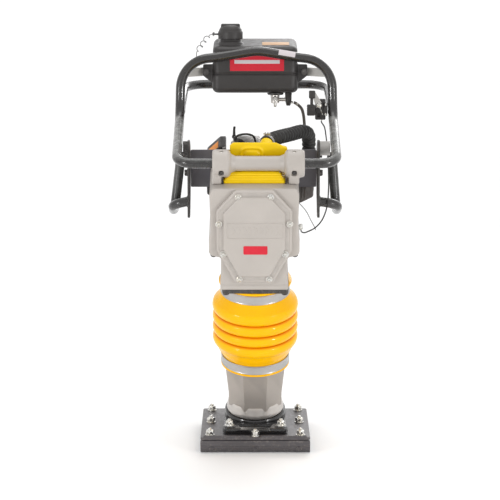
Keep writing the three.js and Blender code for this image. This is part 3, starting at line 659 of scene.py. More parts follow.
def plywood():
    """The shoe's laminated core: resin-dark plies in level layers."""
    paint = Paint("laminate", Coat_Weight=0.15, Coat_Roughness=0.4)
    plies = paint.node("TexWave",
                       {"Vector": paint.where, "Scale": 110.0, "Distortion": 1.5, "Detail": 3.0,
                                   "Detail Scale": 6.0}, bands_direction="Z").outputs["Fac"]
    base = paint.ramp(plies, (0.25, srgb(58, 42, 32)), (0.75, srgb(104, 78, 58)))
    fibre = paint.noise(300, 6, 0.7, (0.2, 0.2, 4), UPRIGHT)
    paint.set("Base Color", paint.mix(paint.ramp(fibre, (0.4, 0.0), (0.7, 0.5)), base, srgb(44, 34, 28)))
    paint.set("Roughness", paint.ramp(fibre, (0.3, 0.5), (0.7, 0.75)))
    paint.bump(fibre, 0.4, 0.2)
    paint.bump(plies, 0.3, 0.2)
    return paint.material


def dark_steel():
    """Thin black paint on steel plate, worn to grey."""
    paint = Paint("dark_steel", Metallic=0.35)
    cloud = paint.ramp(paint.noise(18, 7, 0.7), (0.35, srgb(58, 56, 55)), (0.75, srgb(86, 83, 81)))
    fleck = paint.ramp(paint.noise(140, 7, 0.75), (0.52, 0.0), (0.64, 1.0))
    worn = paint.mix(1.0, paint.edges(0.52, 0.57), fleck, "MULTIPLY")
    paint.set("Base Color", paint.mix(worn, cloud, srgb(140, 136, 132)))
    paint.set("Roughness", paint.ramp(paint.noise(60, 6, 0.7), (0.3, 0.34), (0.75, 0.55)))
    paint.bump(paint.noise(480, 3), 0.25, 0.12)
    return paint.material


def pleated_paper():
    paint = Paint("filter_paper")
    pleats = paint.node("TexWave", {"Vector": paint.where, "Scale": 60.0, "Distortion": 0.4},
                        bands_direction="X").outputs["Fac"]
    paint.set("Base Color", paint.ramp(pleats, (0.2, srgb(196, 180, 140)), (0.8, srgb(236, 224, 190))))
    paint.set("Roughness", paint.ramp(paint.noise(200, 4), (0.3, 0.8), (0.7, 0.95)))
    paint.bump(pleats, 0.6, 1.0)
    return paint.material


def label_film(name, colour):
    """A printed vinyl label: faint print dots and worn gloss."""
    paint = Paint(name, Specular_IOR_Level=0.25)
    fade = paint.ramp(paint.noise(25, 5), (0.3, 0.0), (0.75, 1.0))
    base = paint.mix(fade, scaled(colour, 0.94), scaled(colour, 1.05))
    scratch = paint.ramp(paint.noise(150, 8, 0.8, (4, 1, 1)), (0.66, 0.0), (0.72, 0.35))
    paint.set("Base Color", paint.mix(scratch, base, scaled(colour, 0.75)))
    paint.set("Roughness", paint.ramp(paint.noise(90, 4), (0.3, 0.5), (0.7, 0.65)))
    paint.bump(paint.noise(600, 2), 0.1, 0.04)
    return paint.material


CAST_GREY = painted_casting("cast_grey", srgb(181, 174, 167))
CAST_ALUMINIUM = cast_metal("cast_aluminium", srgb(203, 198, 193))
LEG_METAL = cast_metal("leg_metal", srgb(170, 163, 156), 0.38, 0.6)
BLACK_PAINT = gloss_paint("black_paint", srgb(34, 32, 31))
# The handle loop's and guard tubes' finishes carry a painted highlight band, standing in for reflection.
TUBE_SHEEN_PAINT = gloss_paint("tube_sheen_paint", srgb(34, 32, 31), 0.5, srgb(142, 142, 139))
GUARD_SHEEN_PAINT = gloss_paint("guard_paint", srgb(34, 32, 31), 0.5, srgb(84, 84, 82), (0.69, 0.775))
BLACK_CASTING = gloss_paint("black_casting", srgb(20, 18, 19), 0.0)
BRACKET_GREY = cast_metal("bracket_grey", srgb(196, 194, 190), 0.5, 0.1)
MUFFLER_PAINT = moulded_plastic("muffler_paint", srgb(84, 79, 76), 0.5, 0.4)
FUEL_RUBBER = soft_rubber("fuel_rubber", srgb(78, 72, 66), 0.55)
BLACK_PLASTIC = moulded_plastic("black_plastic", srgb(50, 47, 46))
PANEL_PLASTIC = moulded_plastic("panel_plastic", srgb(112, 110, 116), 0.55, 0.4)
BLACK_RUBBER = soft_rubber("black_rubber", srgb(36, 35, 34))
ROPE = soft_rubber("rope", srgb(190, 186, 178), 0.8)
WIRE_GREY = soft_rubber("wire_grey", srgb(104, 103, 102), 0.4)
YELLOW_RUBBER = bellows_rubber()
YELLOW_PLASTIC = yellow_moulding()
STEEL = drawn_steel("steel", srgb(196, 194, 191))
BAND_STEEL = drawn_steel("band_steel", srgb(186, 184, 182), (2, 2, 40), 0.34)
BARE_ALUMINIUM = drawn_steel("bare_aluminium", srgb(190, 187, 183), (3, 3, 30), 0.3)
ZINC = zinc_plate()
SHOE_PAINT = shoe_enamel()
LAMINATE = plywood()
DARK_STEEL = dark_steel()
PAPER = pleated_paper()
RED_LABEL = label_film("red_label", srgb(206, 42, 58))
PEACH_LABEL = label_film("peach_label", srgb(205, 168, 134))
ORANGE_LABEL = label_film("orange_label", srgb(236, 150, 70))
WHITE_LABEL = label_film("white_label", srgb(205, 198, 201))

# ---------------------------------------------------------------- shoe
SOLE = box_of("shoe_sole_plate")
DECK = box_of("shoe_deck_plate")
DECK_TOP = DECK.z1 - 5
BOLT_NODES = sorted(n for n in frame["nodes"] if n.startswith("shoe_bolt"))


def shoe():
    """The sole with its turned-up nose, the deck with two lips, and a nut on each stud."""
    front, back = SOLE.y0, SOLE.y1
    profile = [(front + 12, 0, 3), (back - 8, 0, 3), (back, 5.5, 2), (back, 8, 0.6), (front + 17, 8, 3),
               (front + 9, 15, 5), (front + 8, 20, 3), (front + 8, 33.6, 0.8), (front + 0.6, 33.6, 1.2),
               (front + 0.6, 25.5, 1), (front - 0.6, 23.5, 1), (front - 0.6, 18.5, 1), (front + 0.8, 16.5,
                                                                                        1),
               (front + 0.8, 13, 4), (front + 4.5, 4, 5)]
    sole = facing_side(slab(profile, 1, SOLE.x0, SOLE.x1, 1.0, 3))
    heads = [hexagon(14, 0, 4.5, 1).moved(aim((x, front + 5, 11), (0, -1, -0.4))) for x in (-116, 0, 116)]
    piece("shoe_sole", sole + together(heads), SHOE_PAINT, "ram_foot", "shoe_sole_plate")

    deck = slab(rectangle(DECK.x0, DECK.x1, DECK.y0, DECK.y1), 9, DECK.z0, DECK_TOP, 1.4, 6)
    lips = []
    for x0, x1 in ((-138, -15), (15, 138)):
        section = [(DECK.y0 + 0.4, DECK_TOP - 3, 1), (DECK.y0 + 6.5, DECK_TOP - 3, 1),
                   (DECK.y0 + 5.6, DECK_TOP + 3.4, 1.8), (DECK.y0 + 0.8, DECK_TOP + 4.6, 1.8)]
        lips.append(facing_side(slab(section, 1, x0, x1, 1.6, 4)))
    piece("shoe_deck", deck + together(lips), SHOE_PAINT, "ram_foot", "shoe_deck_plate")

    for number, node in enumerate(BOLT_NODES):
        at = box_of(node)
        x, y = (at.x0 + at.x1) / 2, (at.y0 + at.y1) / 2
        low = DECK_TOP + 0.3
        stud = [(0, low)] + [(6 - 0.55 * (k % 2), low + 8.5 + 0.55 * k) for k in range(14)]
        stud += [(5.6, low + 16.4), (4.4, low + 18.2), (2.4, low + 19.2), (0, low + 19.6)]
        parts = [washer(12.6, 6.2, low, low + 1.9), washer(9.6, 6.1, low + 1.9, low + 3.6),
                 hexagon(19, low + 3.6, low + 13.5, 1.8), turned(stud, 36)]
        shape = together(parts).moved(Matrix.Rotation(number * 0.7, 4, "Z")).at(x, y, 0)
        piece(f"shoe_nut_{number + 1}", shape, ZINC, "ram_foot", node)


# ---------------------------------------------------------------- foot casting and leg
BELLOWS = box_of("bellows", LEANING)
CASTING_TOP = 60
FOOT_BOLTS = [(-69, -119), (69, -119), (-52, 98), (52, 98)]


def foot_casting():
    """The black casting between the shoe and the leaning leg, with its four bolts."""
    outline = [(58, 122, 22), (-58, 122, 22), (-76, 66, 10), (-83.5, 0, 10), (-83.5, -140, 8),
               (83.5, -140, 8),
               (83.5, 0, 10), (76, 66, 10)]
    base = slab(outline, 8, DECK_TOP + 0.5, CASTING_TOP, 2.5, 4)
    ring = turned([(0, -62), (84, -62), (83.4, -30), (83, -12), (82.6, -4), (80, -0.5), (0, -0.5)], 112)
    pads = [turned([(0, 48), (19, 48), (17, CASTING_TOP + 2), (15.5, CASTING_TOP + 3),
                    (0, CASTING_TOP + 3)], 40)
            .at(x, y, 0) for x, y in FOOT_BOLTS]
    below = block((-200, 200), (-200, 200), (-60, DECK_TOP + 0.4), 0.1, 0.2)
    relief = slab([(-37, -150, 3), (37, -150, 3), (46, -98, 5), (-46, -98, 5)], 3, 55.5, 80, 1)
    body = cut([base, ring.moved(TO_UPRIGHT)] + pads, [below, relief])
    piece("foot_base", body, BLACK_CASTING, "ram_foot", "foot_casting", sharp=40)
    for number, (x, y) in enumerate(FOOT_BOLTS):
        bolt = washer(13, 6.2, 0, 2.2) + washer(10.5, 6.1, 2.2, 4.4) + hexagon(18, 4.4, 13, 1.6)
        bolt += turned([(0, 12), (5.6, 12), (5.6, 16.5), (4, 18.5), (0, 19)], 32)
        turn = Matrix.Rotation(0.4 + number, 4, "Z")
        bolt = bolt.moved(turn).at(x, y, CASTING_TOP + 3.1)
        piece(f"foot_bolt_{number + 1}", bolt, ZINC, "ram_foot")


def leg():
    """An eight-sided cast cone with crisp corners, between a round foot flange and a round collar."""
    octagon = [math.pi / 8 + math.pi / 4 * k for k in range(8)]
    sections = [(74.6, 22), (75, 60), (83.2, 137), (83.4, 139)]
    facets = loft([[(1.035 * r * math.cos(a), r * math.sin(a), s) for a in octagon] for r, s in sections])
    foot = turned([(0, 0.3), (76, 0.3), (77, 1.6), (77, 8), (75.6, 12), (73, 24), (71.5, 31), (0, 31)],
                  96)
    collar_low = turned([(0, 136), (78.4, 136), (80.6, 139.4), (82.6, 144), (82.6, 174), (0, 174)], 96)
    bore = turned([(0, 15), (60, 15), (60, 150), (74, 152), (74, 180), (0, 180)], 72)
    body = cut([facets, collar_low], [bore], LEANING)
    piece("leg_flange", foot, CAST_ALUMINIUM, "ram_foot", place=LEANING, sharp=24)
    piece("leg_casting", body, LEG_METAL, "ram_foot", "leg_cylinder", sharp=12)


def clamp_band(name, node, body):
    """A worm-drive clamp: a rolled-edge strap, and its screw housing at the back."""
    at = box_of(node, LEANING)
    low, high, r = at.z0, at.z1, 90.3
    middle = (low + high) / 2
    strap = turned([(r, low), (r + 2.2, low), (r + 2.5, low + 1.5), (r + 1.7, low + 3),
                    (r + 1.7, high - 3),
                    (r + 2.5, high - 1.5), (r + 2.2, high), (r, high)], 120, 0.5, True)
    housing = block((-9, 9), (r + 1, r + 9.5), (low + 3.5, high - 3.5), 2, 2)
    screw = rod((-16, r + 6.2, middle), (12, r + 6.2, middle), 3.4)
    head = hexagon(9, 0, 5.5, 0.8).moved(aim((-16, r + 6.2, middle), (-1, 0, 0)))
    slots = [block((x, x + 1.3), (r + 1.9, r + 2.6), (low + 6, high - 6), 0.2, 0.3) for x in range(14, 34,
                                                                                                   3)]
    piece(name, strap + housing + screw + head + together(slots), BAND_STEEL, body, node, LEANING)


def clamp_bands():
    clamp_band("lower_band", "lower_clamp_band", "ram_foot")
    clamp_band("upper_band", "upper_clamp_band", "machine")


# ---------------------------------------------------------------- bellows
# Height and radius of each crease between the rolls.
GROOVES = [(206.5, 107.0), (237.5, 105.2), (267.5, 105.2), (300, 105.4), (334.5, 107.5)]
CREASE_REACH, CREASE_RADIUS = 4.5, 112
ROLL_SQUARENESS = 0.62


def bellows():
    """Four rolls with sharp creases between them, tapering to plain cuffs under the bands."""
    cuff = [(83.6, BELLOWS.z0 + 0.4), (91.2, BELLOWS.z0 + 0.4), (92.4, 142), (92.6, 143.6), (91.8, 145.6),
            (90.1, 147.4), (90.1, 160), (90.1, 172.8), (91.2, 175.4), (93.6, 179), (96.2, 184), (98.6,
                                                                                                 188),
            (100.2, 191.8), (101.6, 195.6), (103.4, 199.6), (105.4, 203.4)]
    line = [Vector(p) for p in cuff]
    for (low, r0), (high, r1) in zip(GROOVES, GROOVES[1:]):
        tallest = 114.3 if high < 320 else 114.6
        for k in range(13):
            t = k / 13
            base = r0 + (r1 - r0) * t
            swell = math.sin(math.pi * t) ** ROLL_SQUARENESS
            line.append(Vector((base + (tallest - base) * swell, low + (high - low) * t)))
    line += [Vector(p) for p in ((107.3, 334.5), (103.4, 338.5), (99, 343), (95.4, 347.4), (92.2, 351.4),
                                 (90.3, 355), (90.1, 360), (90.1, 382), (94.4, 383.4), (96.8, 385),
                                 (96.8, 389.4), (95.4, 390.7), (83.6, 390.7), (83.6, 352), (101,
                                                                                            330), (99,
                                                                                                   207),
                                 (83.6, 178))]
    shape = loft([circle(p.x, p.y, 128) for p in line + line[:1]], caps=False)
    limits = [(0, 0, 174), (0, 0, 354)]
    start, end = [TO_UPRIGHT @ Vector(p) for p in limits]
    made = piece("bellows_boot", shape, YELLOW_RUBBER, ("ram_foot", "machine", start, end),
                 "bellows", LEANING, 50)
    # Each vertex near a crease between the rolls gets a weight for the painted shade there.
    crease_shade = made.data.attributes.new("crease_shade", "FLOAT", "POINT")
    for vertex, value in zip(made.data.vertices, crease_shade.data):
        local = LEANING.inverted() @ vertex.co / MM
        radius = math.hypot(local.x, local.y)
        near = min(abs(local.z - s) for s, _ in GROOVES[1:4])
        depth = max(0.0, min(1.0, 1.15 - near / CREASE_REACH))
        value.value = depth if radius < CREASE_RADIUS else 0.0


# ---------------------------------------------------------------- guide, crankcase and cover
CASE = box_of("crankcase", LEANING)
GUIDE = box_of("guide_cylinder", LEANING)
CRANK = point_of("crank_spin", LEANING)
PINION = point_of("clutch_spin", LEANING)
CASE_FRONT, CASE_BACK = CASE.y0, 75
CASE_LOW, CASE_TOP = CASE.z0, CASE.z1
CASE_X = (CASE.x0 + CASE.x1) / 2
COVER_BOLTS = [(CASE_X + x * side, s) for x,
               s in ((41, 673), (91, 598), (80, 513), (39, 441)) for side in (-1, 1)]


def guide_cylinder():
    """The tube the leg slides in, and the square flange under the gear case."""
    wall = turned([(60.8, 200), (68, 200), (68, 346), (82.6, 350), (82.6, 394), (60.8, 394)], 72, 1, True)
    outline = rectangle(GUIDE.x0, GUIDE.x1, -96, 84)
    flange = slab(outline, 10, 392.4, CASE_LOW - 0.4, 1.2, 6)
    plate = cut([flange], [turned([(0, 380), (60.8, 380), (60.8, 420), (0, 420)], 72)], LEANING)
    piece("guide_flange", plate, DARK_STEEL, "machine")
    piece("guide_tube", wall, DARK_STEEL, "machine", "guide_cylinder", LEANING)
    for number, (x, y) in enumerate([(x, y) for x in (-77, 77) for y in (-84, 74)]):
        bolt = hex_bolt(9, 9.5, 5.6).moved(aim((x, y, 392.3), (0, 0, -1)))
        piece(f"guide_bolt_{number + 1}", bolt, DARK_STEEL, "machine", place=LEANING)


def on_case(half):
    """Completes a half outline about the case's own middle, which is a little left of the leg."""
    return [(CASE_X + x, *rest) for x, *rest in mirrored(half)]


def crankcase():
    """The gear case: wide above, narrow at its foot, hollow behind the cover."""
    half = [(88, CASE_LOW, 3), (88, 417, 3), (86.4, 420, 3), (86.4, 496, 8), (110, 500.5, 5),
            (117, 509, 7),
            (117, 549, 8), (112, 565, 12), (114.8, 672, 16), (107, CASE_TOP, 7)]
    shell = facing_front(slab(on_case(half), 4, CASE_FRONT, CASE_BACK, 3.5, 4))
    foot_rim = facing_front(slab(on_case([(88.4, CASE_LOW), (88.4, 418.5)]), 3, CASE_FRONT - 3, CASE_BACK,
                                 2))
    wall = 9
    hollow_half = [(86 - wall, CASE_LOW + 10, 6), (86 - wall, 500, 6), (112 - wall, 512, 6),
                   (113 - wall, 676, 12), (96, CASE_TOP - wall, 8)]
    hollow = facing_front(slab(on_case(hollow_half), 6, CASE_FRONT + wall, CASE_BACK - wall, 2, 3))
    opening_half = [(40, 448, 6), (81, 527, 6), (81, 628, 6), (40, 675, 6)]
    opening = facing_front(slab(on_case(opening_half), 6, CASE_FRONT - 5, CASE_FRONT + wall + 4, 0.5, 3))
    clutch = rod((0, CASE_BACK - 2, PINION.z), (0, 122, PINION.z), 64, 2.5, 72)
    clutch_flange = rod((0, 111, PINION.z), (0, 122, PINION.z), 70, 2, 72)
    ribs = [block((x - 3, x + 3), (CASE_BACK - 4, 112), (CASE_LOW + 4, 640), 1.5, 2.5) for x in (-40, 40)]
    bore = turned([(0, 395), (62, 395), (62, 425), (0, 425)], 64)
    bearing = rod((0, 58, CRANK.z), (0, CASE_BACK + 8, CRANK.z), 31.6, 0.5, 48)
    shaft = rod((0, 58, PINION.z), (0, 135, PINION.z), 14.5, 0.5, 32)
    bell = rod((0, CASE_BACK + 4, PINION.z), (0, 140, PINION.z), 56, 0.5, 64)
    boss = rod((0, CASE_BACK - 2, CRANK.z), (0, CASE_BACK + 7, CRANK.z), 42, 2, 64)
    lug_holes = [rod((CASE_X + x, -63, 495), (CASE_X + x, -63, 540), 6.5, 0.3, 28) for x in (-104, 104)]
    slots = [block((CASE_X + x - 4, CASE_X + x + 4), (-70, -60), (614, 626), 1, 3) for x in (-117, 117)]
    made = cut([shell, foot_rim, clutch, clutch_flange, boss] + ribs,
               [hollow, opening, bore, bearing, shaft, bell] + lug_holes + slots, LEANING)
    piece("gear_case", cast(made, 1.9, 4, 0.4), CAST_GREY, "machine", "crankcase")
    # Painted shadow: dark rubber discs under the lugs' front corners stand in for the shade beneath them.
    shadow_discs = [rod((CASE_X + x, -88, 502.5), (CASE_X + x, -60, 502.5), 9, 1.5, 32) for x in (-105, 105)]
    piece("case_corner_shadow_discs", together(shadow_discs), BLACK_RUBBER, "machine", place=LEANING)


def cover():
    """The eight-sided cover with its stepped rim, blank relief, blank label and bolts."""
    outline = on_case([(50, 432, 9), (97, 523, 14), (97, 634, 12), (47, 691, 10)])
    face = -box_of("crankcase_cover", LEANING).y0
    flange = -CASE_FRONT + 12
    levels = [(-CASE_FRONT + 0.4, 0.4), (flange - 2.4, 0), (flange - 1.2, 0.5), (flange - 0.3, 1.5),
              (flange, 3), (flange, 5.5), (flange - 1.1, 6.8), (flange - 1.1, 15.5), (flange - 0.6, 16.6),
              (face - 1.5, 18.4), (face - 0.5, 19.4), (face, 21)]
    plate = flipped(facing_front(terrace(outline, 10, levels, 6)))
    bosses = [turned([(0, 96.5), (10.5, 96.5), (10.5, flange), (9.6, flange + 0.9), (0, flange + 0.9)],
                     40)
              .moved(Matrix.Rotation(math.pi / 2, 4, "X")).at(x, 0, s) for x, s in COVER_BOLTS]
    limits = CASE_X - 96.6, CASE_X + 96.6
    bosses = [b.mapped(lambda p: Vector((max(limits[0], min(limits[1], p.x)), p.y, p.z))) for b in bosses]
    piece("case_cover", plate + together(bosses), CAST_GREY, "machine", "crankcase_cover", LEANING)
    # A plain raised frame where a casting mark would be.
    levels = [(face - 0.5, 0), (face + 0.7, 0.2), (face + 1, 0.8)]
    bars = [(-73.5, 73.5, 557.5, 560.7), (-73.5, 73.5, 599.8, 603), (-73.5, -70.3, 560, 600.4),
            (70.3, 73.5, 560, 600.4)]
    frame_bars = [flipped(facing_front(terrace(rectangle(*bar), 0.8, levels, 3))) for bar in bars]
    waves = []
    for x in [-58 + 14.5 * k for k in range(9)]:
        chevron = [(x - 4, 568), (x + 1, 568), (x + 6, 580), (x + 1, 592), (x - 4, 592), (x + 1, 580)]
        rings = [[(a, -(face + h), b) for a, b in chevron] for h in (-0.5, 0.6)]
        waves.append(loft(rings))
    piece("cover_relief", together(frame_bars + waves), CAST_GREY, "machine", place=LEANING)
    label = facing_front(slab(rectangle(-31, 31, 514, 538), 3, face + 0.05, face + 0.45, 0.15, 4))
    piece("cover_label", flipped(label), RED_LABEL, "machine", place=LEANING, slot="cast_grey")
    for number, (x, s) in enumerate(COVER_BOLTS):
        bolt = washer(8.6, 4, 0, 1.3) + dome_bolt(6.6, 5.2).at(0, 0, 1.3)
        bolt = bolt.moved(Matrix.Rotation(number * 0.5, 4, "Z")).moved(aim((x, -flange - 0.9, s),
                                                                           (0, -1, 0)))
        piece(f"cover_bolt_{number + 1}", bolt, ZINC, "machine", place=LEANING)


# ---------------------------------------------------------------- handle mount and air filter
PIVOT = point_of("handle_rock", LEANING)
BOSS_RADIUS, BOSS_INNER = 36, 69
BOSS_OUTER = {-1: 116, 1: 120}
TUBE_RADIUS = 12.7
FILTER = box_of("air_filter_cover", LEANING)
FILTER_BASE = box_of("air_filter_base", LEANING)


def on_pivot(shape):
    """Lays a shape turned about Z along the handle's pivot axis."""
    return shape.mapped(lambda p: Vector((PIVOT.x + p.z, PIVOT.y + p.x, PIVOT.z + p.y)))


def across(profile, sides=72):
    """Turns (radius, x) about the handle's pivot axis, x measured from its middle."""
    return on_pivot(turned(profile, sides))


def handle_mount():
    """A barrel across the top of the case, with a rubber bush in each end."""
    bosses = []
    for side in (-1, 1):
        outer = BOSS_OUTER[side]
        ends = [(0, BOSS_INNER), (27, BOSS_INNER), (32, BOSS_INNER + 3), (BOSS_RADIUS, BOSS_INNER + 8),
                (BOSS_RADIUS, outer - 9), (34.6, outer - 3), (31.5, outer), (0, outer)]
        bosses.append(across([(r, side * x) for r, x in ends]))
    rail = across([(0, -BOSS_INNER - 4), (26, -BOSS_INNER - 4), (23, -BOSS_INNER + 4),
                   (19.3, -BOSS_INNER + 12),
                   (19, 0), (19.3, BOSS_INNER - 12), (23, BOSS_INNER - 4), (26, BOSS_INNER + 4),
                   (0, BOSS_INNER + 4)])
    pads = [block(x, (-69, -13), (CASE_TOP + 0.8, 724), 3, 6) for x in ((-112, -86.5), (84.5, 112))]
    tools = [across([(0, side * (BOSS_INNER + 4)), (22, side * (BOSS_INNER + 4)), (22, side * 130),
                     (0, side * 130)],
                    48) for side in (-1, 1)]
    for x in (-93, 93):
        arch = [(x - 6.5, 714, 1), (x + 6.5, 714, 1), (x + 6.5, 731, 6), (x - 6.5, 731, 6)]
        tools.append(facing_front(slab(arch, 1, -90, -63.5, 0.3, 6)).at(PIVOT.x, 0, 0))
        tools.append(rod((PIVOT.x + x, PIVOT.y - 4, 767), (PIVOT.x + x, PIVOT.y - 4, 790), 5.2, 0.2, 32))
    body = cut(bosses + [rail] + pads, tools, LEANING)
    piece("handle_bracket", cast(body, 1.5, 4, 0.5), CAST_GREY, "machine", "handle_mount")
    for number, x in enumerate((-93, 93)):
        screw = dome_bolt(4.8, 3).at(PIVOT.x + x, PIVOT.y - 4, 767.2)
        piece(f"bracket_screw_{number + 1}", screw, ZINC, "machine", place=LEANING)
        bolt = hex_bolt(6.5, 6, 4).moved(aim((PIVOT.x + x, -63.6, 722), (0, -1, 0)))
        piece(f"bracket_bolt_{number + 1}", bolt, DARK_STEEL, "machine", place=LEANING)
        side = 1 if x > 0 else -1
        low, high = sorted((side * (BOSS_INNER + 5), side * (BOSS_OUTER[side] - 1.2)))
        ribs = [(13.5, low), (21, low), (21.1, low + 2)]
        ribs += [(20.2 + 0.9 * (k % 2), low + 4 + 3 * k) for k in range(11)]
        ribs += [(21.1, high - 2), (20, high), (15, high), (13.5, high - 1.5)]
        bush = on_pivot(turned(ribs, 48, 0.4, True))
        node = "rubber_bush_right" if side > 0 else "rubber_bush_left"
        piece(f"bush_{number + 1}", bush, BLACK_RUBBER, "machine", node, LEANING)


def air_filter():
    """The yellow filter housing: a stepped base with two hooks, and a lid with an inlet neck."""
    at = FILTER_BASE
    low = at.z0
    levels = [(low, 1.2), (low + 1.2, 0.2), (low + 6.5, 0.2), (low + 8, 1.4), (low + 9, 4.5),
              (low + 12.5, 5.4),
              (low + 13.6, 8.2), (low + 17, 9), (low + 18.2, 12), (low + 22, 12.8), (at.z1 - 1.4, 15.6),
              (at.z1 - 0.4, 16.4), (at.z1, 17.6)]
    plan = [(at.x0, at.y0, 6), (at.x1, at.y0, 6), (at.x1, at.y1, 10), (at.x0, at.y1, 10)]
    piece("filter_base", terrace(plan, 6, levels, 5), YELLOW_PLASTIC, "machine",
          "air_filter_base", LEANING)
    for number, (x, sign) in enumerate(((at.x0 + 1.2, -1), (at.x1 - 1.2, 1))):
        hook = facing_front(slab([(-1.6, 0), (1.6, 0), (1.6, 17), (3.4, 20), (0.4, 20), (-1.6, 17)], 0.6,
                                 -1.8, 1.8,
                                 0.6)).mapped(lambda p, s=sign: Vector((p.x * -s, p.y, p.z)))
        piece(f"filter_hook_{number + 1}", hook.at(x + sign * 2, at.y0 - 1.6, low), BLACK_PLASTIC,
              "machine", place=LEANING)

    top = FILTER
    back, front, ridge = 56, -3, top.z1
    fall = 27 / (back - front)

    def falling(shape):
        """The lid's roof falls away behind its front edge, as steeply as the machine leans and more."""
        def lowered(p):
            share = max(0.0, min(1.0, (p.z - 722) / (ridge - 722)))
            return Vector((p.x, p.y, p.z - share * fall * (p.y - front)))
        return shape.mapped(lowered)

    outline = [(top.x0, 716.4, 3), (top.x1, 716.4, 3), (top.x1, 766, 5), (52, ridge, 7), (-58, ridge, 5),
               (top.x0, ridge - 8, 5)]
    lid = falling(facing_front(slab(outline, 6, front, back, 4, 6)))
    rib = tube(bent([(-37.5, front - 0.2, 724), (-37.5, front - 0.2, 765, 15),
                     (18.2, front - 0.2, 765, 15),
                     (18.2, front - 0.2, 724)]), 3.4, 12)
    window = [(-29, 724, 3), (10, 724, 3), (10, 749, 5), (4, 756, 7), (-23, 756, 7), (-29, 749, 5)]
    inner = facing_front(slab(window, 3, front - 2.4, front + 3, 1.6, 5))
    lip = facing_front(slab(rectangle(top.x0 + 1, top.x1 - 1, 717, 724), 2, front - 1.4, back + 0.8, 1.2,
                            4))
    start, end = [TO_LEANING @ Vector(p) for p in ((24, -188, 815), (29.5, -161.7, 825.3))]
    reach = (end - start).length
    neck = turned([(0, -12), (17.5, -12), (17, 4), (17, reach), (13.8, reach), (13.8, 8), (0, 8)], 56)
    saddle = rod(start + Vector((0, -3, -7)), start + (end - start) * 0.3 + Vector((0, 0, -9)), 20, 6, 48)
    room = facing_front(slab([(top.x0 + 4, 700), (top.x1 - 4, 700), (top.x1 - 4, 750), (48, 760),
                              (-48, 768), (top.x0 + 4, 758)], 6, front + 4, back - 4, 1, 3))
    throat = rod(start - (end - start) * 0.2, end + (end - start), 13.6, 0.2, 32)
    body = cut([lid, rib, inner, lip, neck.moved(aim(start, end - start)), saddle],
               [falling(room), throat],
               LEANING)
    piece("filter_lid", cast(body, 1.3, 4, 0.5), YELLOW_PLASTIC, "machine",
          "air_filter_cover")


# ---------------------------------------------------------------- hoses and cables
HOSE_ROUTE = [(30, -160, 826), (31.1, -154.5, 828.2), (42, -134, 833), (62, -108, 837), (95, -50, 840),
              (127, 0, 843), (143, 36, 832), (146, 57, 806), (146, 60, 784), (146, 60, 776.6)]
FUEL_ROUTE = [(104.4, 60, 916.7), (108, 60, 916), (116, 61.5, 911), (126, 64, 900), (131, 69, 884),
              (134, 75, 860), (136, 79, 830), (138, 82, 786.8)]
CABLE_ROUTE = [(178, 15, 873.4), (178, 15, 868), (186, 12, 855), (190, -2, 832), (192, -60, 790),
               (193, -110, 740), (191, -158, 700), (186, -182, 660), (174, -184, 628), (157, -172, 606),
               (138, -154, 593), (128, -156, 590), (121, -156, 592.5), (119.5, -156, 597.6)]
TETHER_ROUTE = [(-112.6, 92, 1100.5), (-118, 91.6, 1100), (-129, 80, 1093), (-141, 56, 1077),
                (-151, 36, 1064), (-156, 26, 1057)]
TETHER_CURL, TETHER_TURNS = 5.8, 4
HOSE_RADIUS, HOSE_PITCH = 19, 14.5


def wire_clamp(centre, direction, radius):
    """A bright screw clamp round a hose: strap, pinched ears and their screw."""
    strap = turned([(radius, -4.2), (radius + 1, -4.6), (radius + 1.2, 4.6), (radius, 4.2)], 72, 0.3,
                   True)
    ears = [block((y, y + 1.5), (radius + 0.4, radius + 9), (-4, 4), 0.4, 1) for y in (-4.5, 3)]
    screw = rod((-9, radius + 5.5, 0), (9, radius + 5.5, 0), 1.9, 0.4, 20)
    head = hexagon(7, 0, 3.6, 0.6).moved(aim((-7, radius + 5.5, 0), (-1, 0, 0)))
    return (strap + together(ears) + screw + head).moved(aim(centre, direction))


def hoses():
    """The ribbed intake hose, the fuel line and the throttle cable."""
    line = spline(HOSE_ROUTE, 1.15)
    length = sum((b - a).length for a, b in zip(line, line[1:]))

    def folds(run):
        if run < 13 or run > length - 9:
            return HOSE_RADIUS - 1.4
        return HOSE_RADIUS - 4 + 4 * abs(math.sin(math.pi * (run - 13) / HOSE_PITCH)) ** 0.7

    piece("breather_hose", tube(line, folds, 48), BLACK_RUBBER, "machine", "intake_hose", sharp=60)
    for number, place in enumerate((5, len(line) - 5)):
        direction = line[place + 1] - line[place - 1]
        piece(f"hose_clamp_{number + 1}", wire_clamp(line[place], direction, HOSE_RADIUS - 1.2),
              BAND_STEEL,
              "machine")
    fuel = spline(FUEL_ROUTE, 2.5)
    bend = ("machine", "handle", (0, 0, 800), (0, 0, 905))
    piece("fuel_line", tube(fuel, 4.1, 20), FUEL_RUBBER, bend, "fuel_hose", sharp=60)
    for number, place in enumerate((4, len(fuel) - 4)):
        direction = fuel[place + 1] - fuel[place - 1]
        ring = turned([(4, -2.4), (5, -2.4), (5.2, 0), (5, 2.4), (4, 2.4)], 32, 0.2, True)
        pair = [rod((3.6, k, 0), (9, k, 0), 0.8, 0.2, 12) for k in (-2.2, 2.2)]
        body = "handle" if number == 0 else "machine"
        piece(f"fuel_clip_{number + 1}", (ring + together(pair)).moved(aim(fuel[place], direction)), ZINC,
              body)
    cable = spline(CABLE_ROUTE, 4)
    bend = ("machine", "handle", (0, 0, 625), (0, 0, 850))
    piece("throttle_line", tube(cable, 1.75, 14), BLACK_RUBBER, bend, "throttle_cable", sharp=60)


def on_side(side, points):
    """An outline on one side of the machine, kept anticlockwise."""
    moved = [(side * x, *rest) for x, *rest in points]
    area = sum(a[0] * b[1] - b[0] * a[1] for a, b in zip(moved, moved[1:] + moved[:1]))
    return moved if area > 0 else moved[::-1]


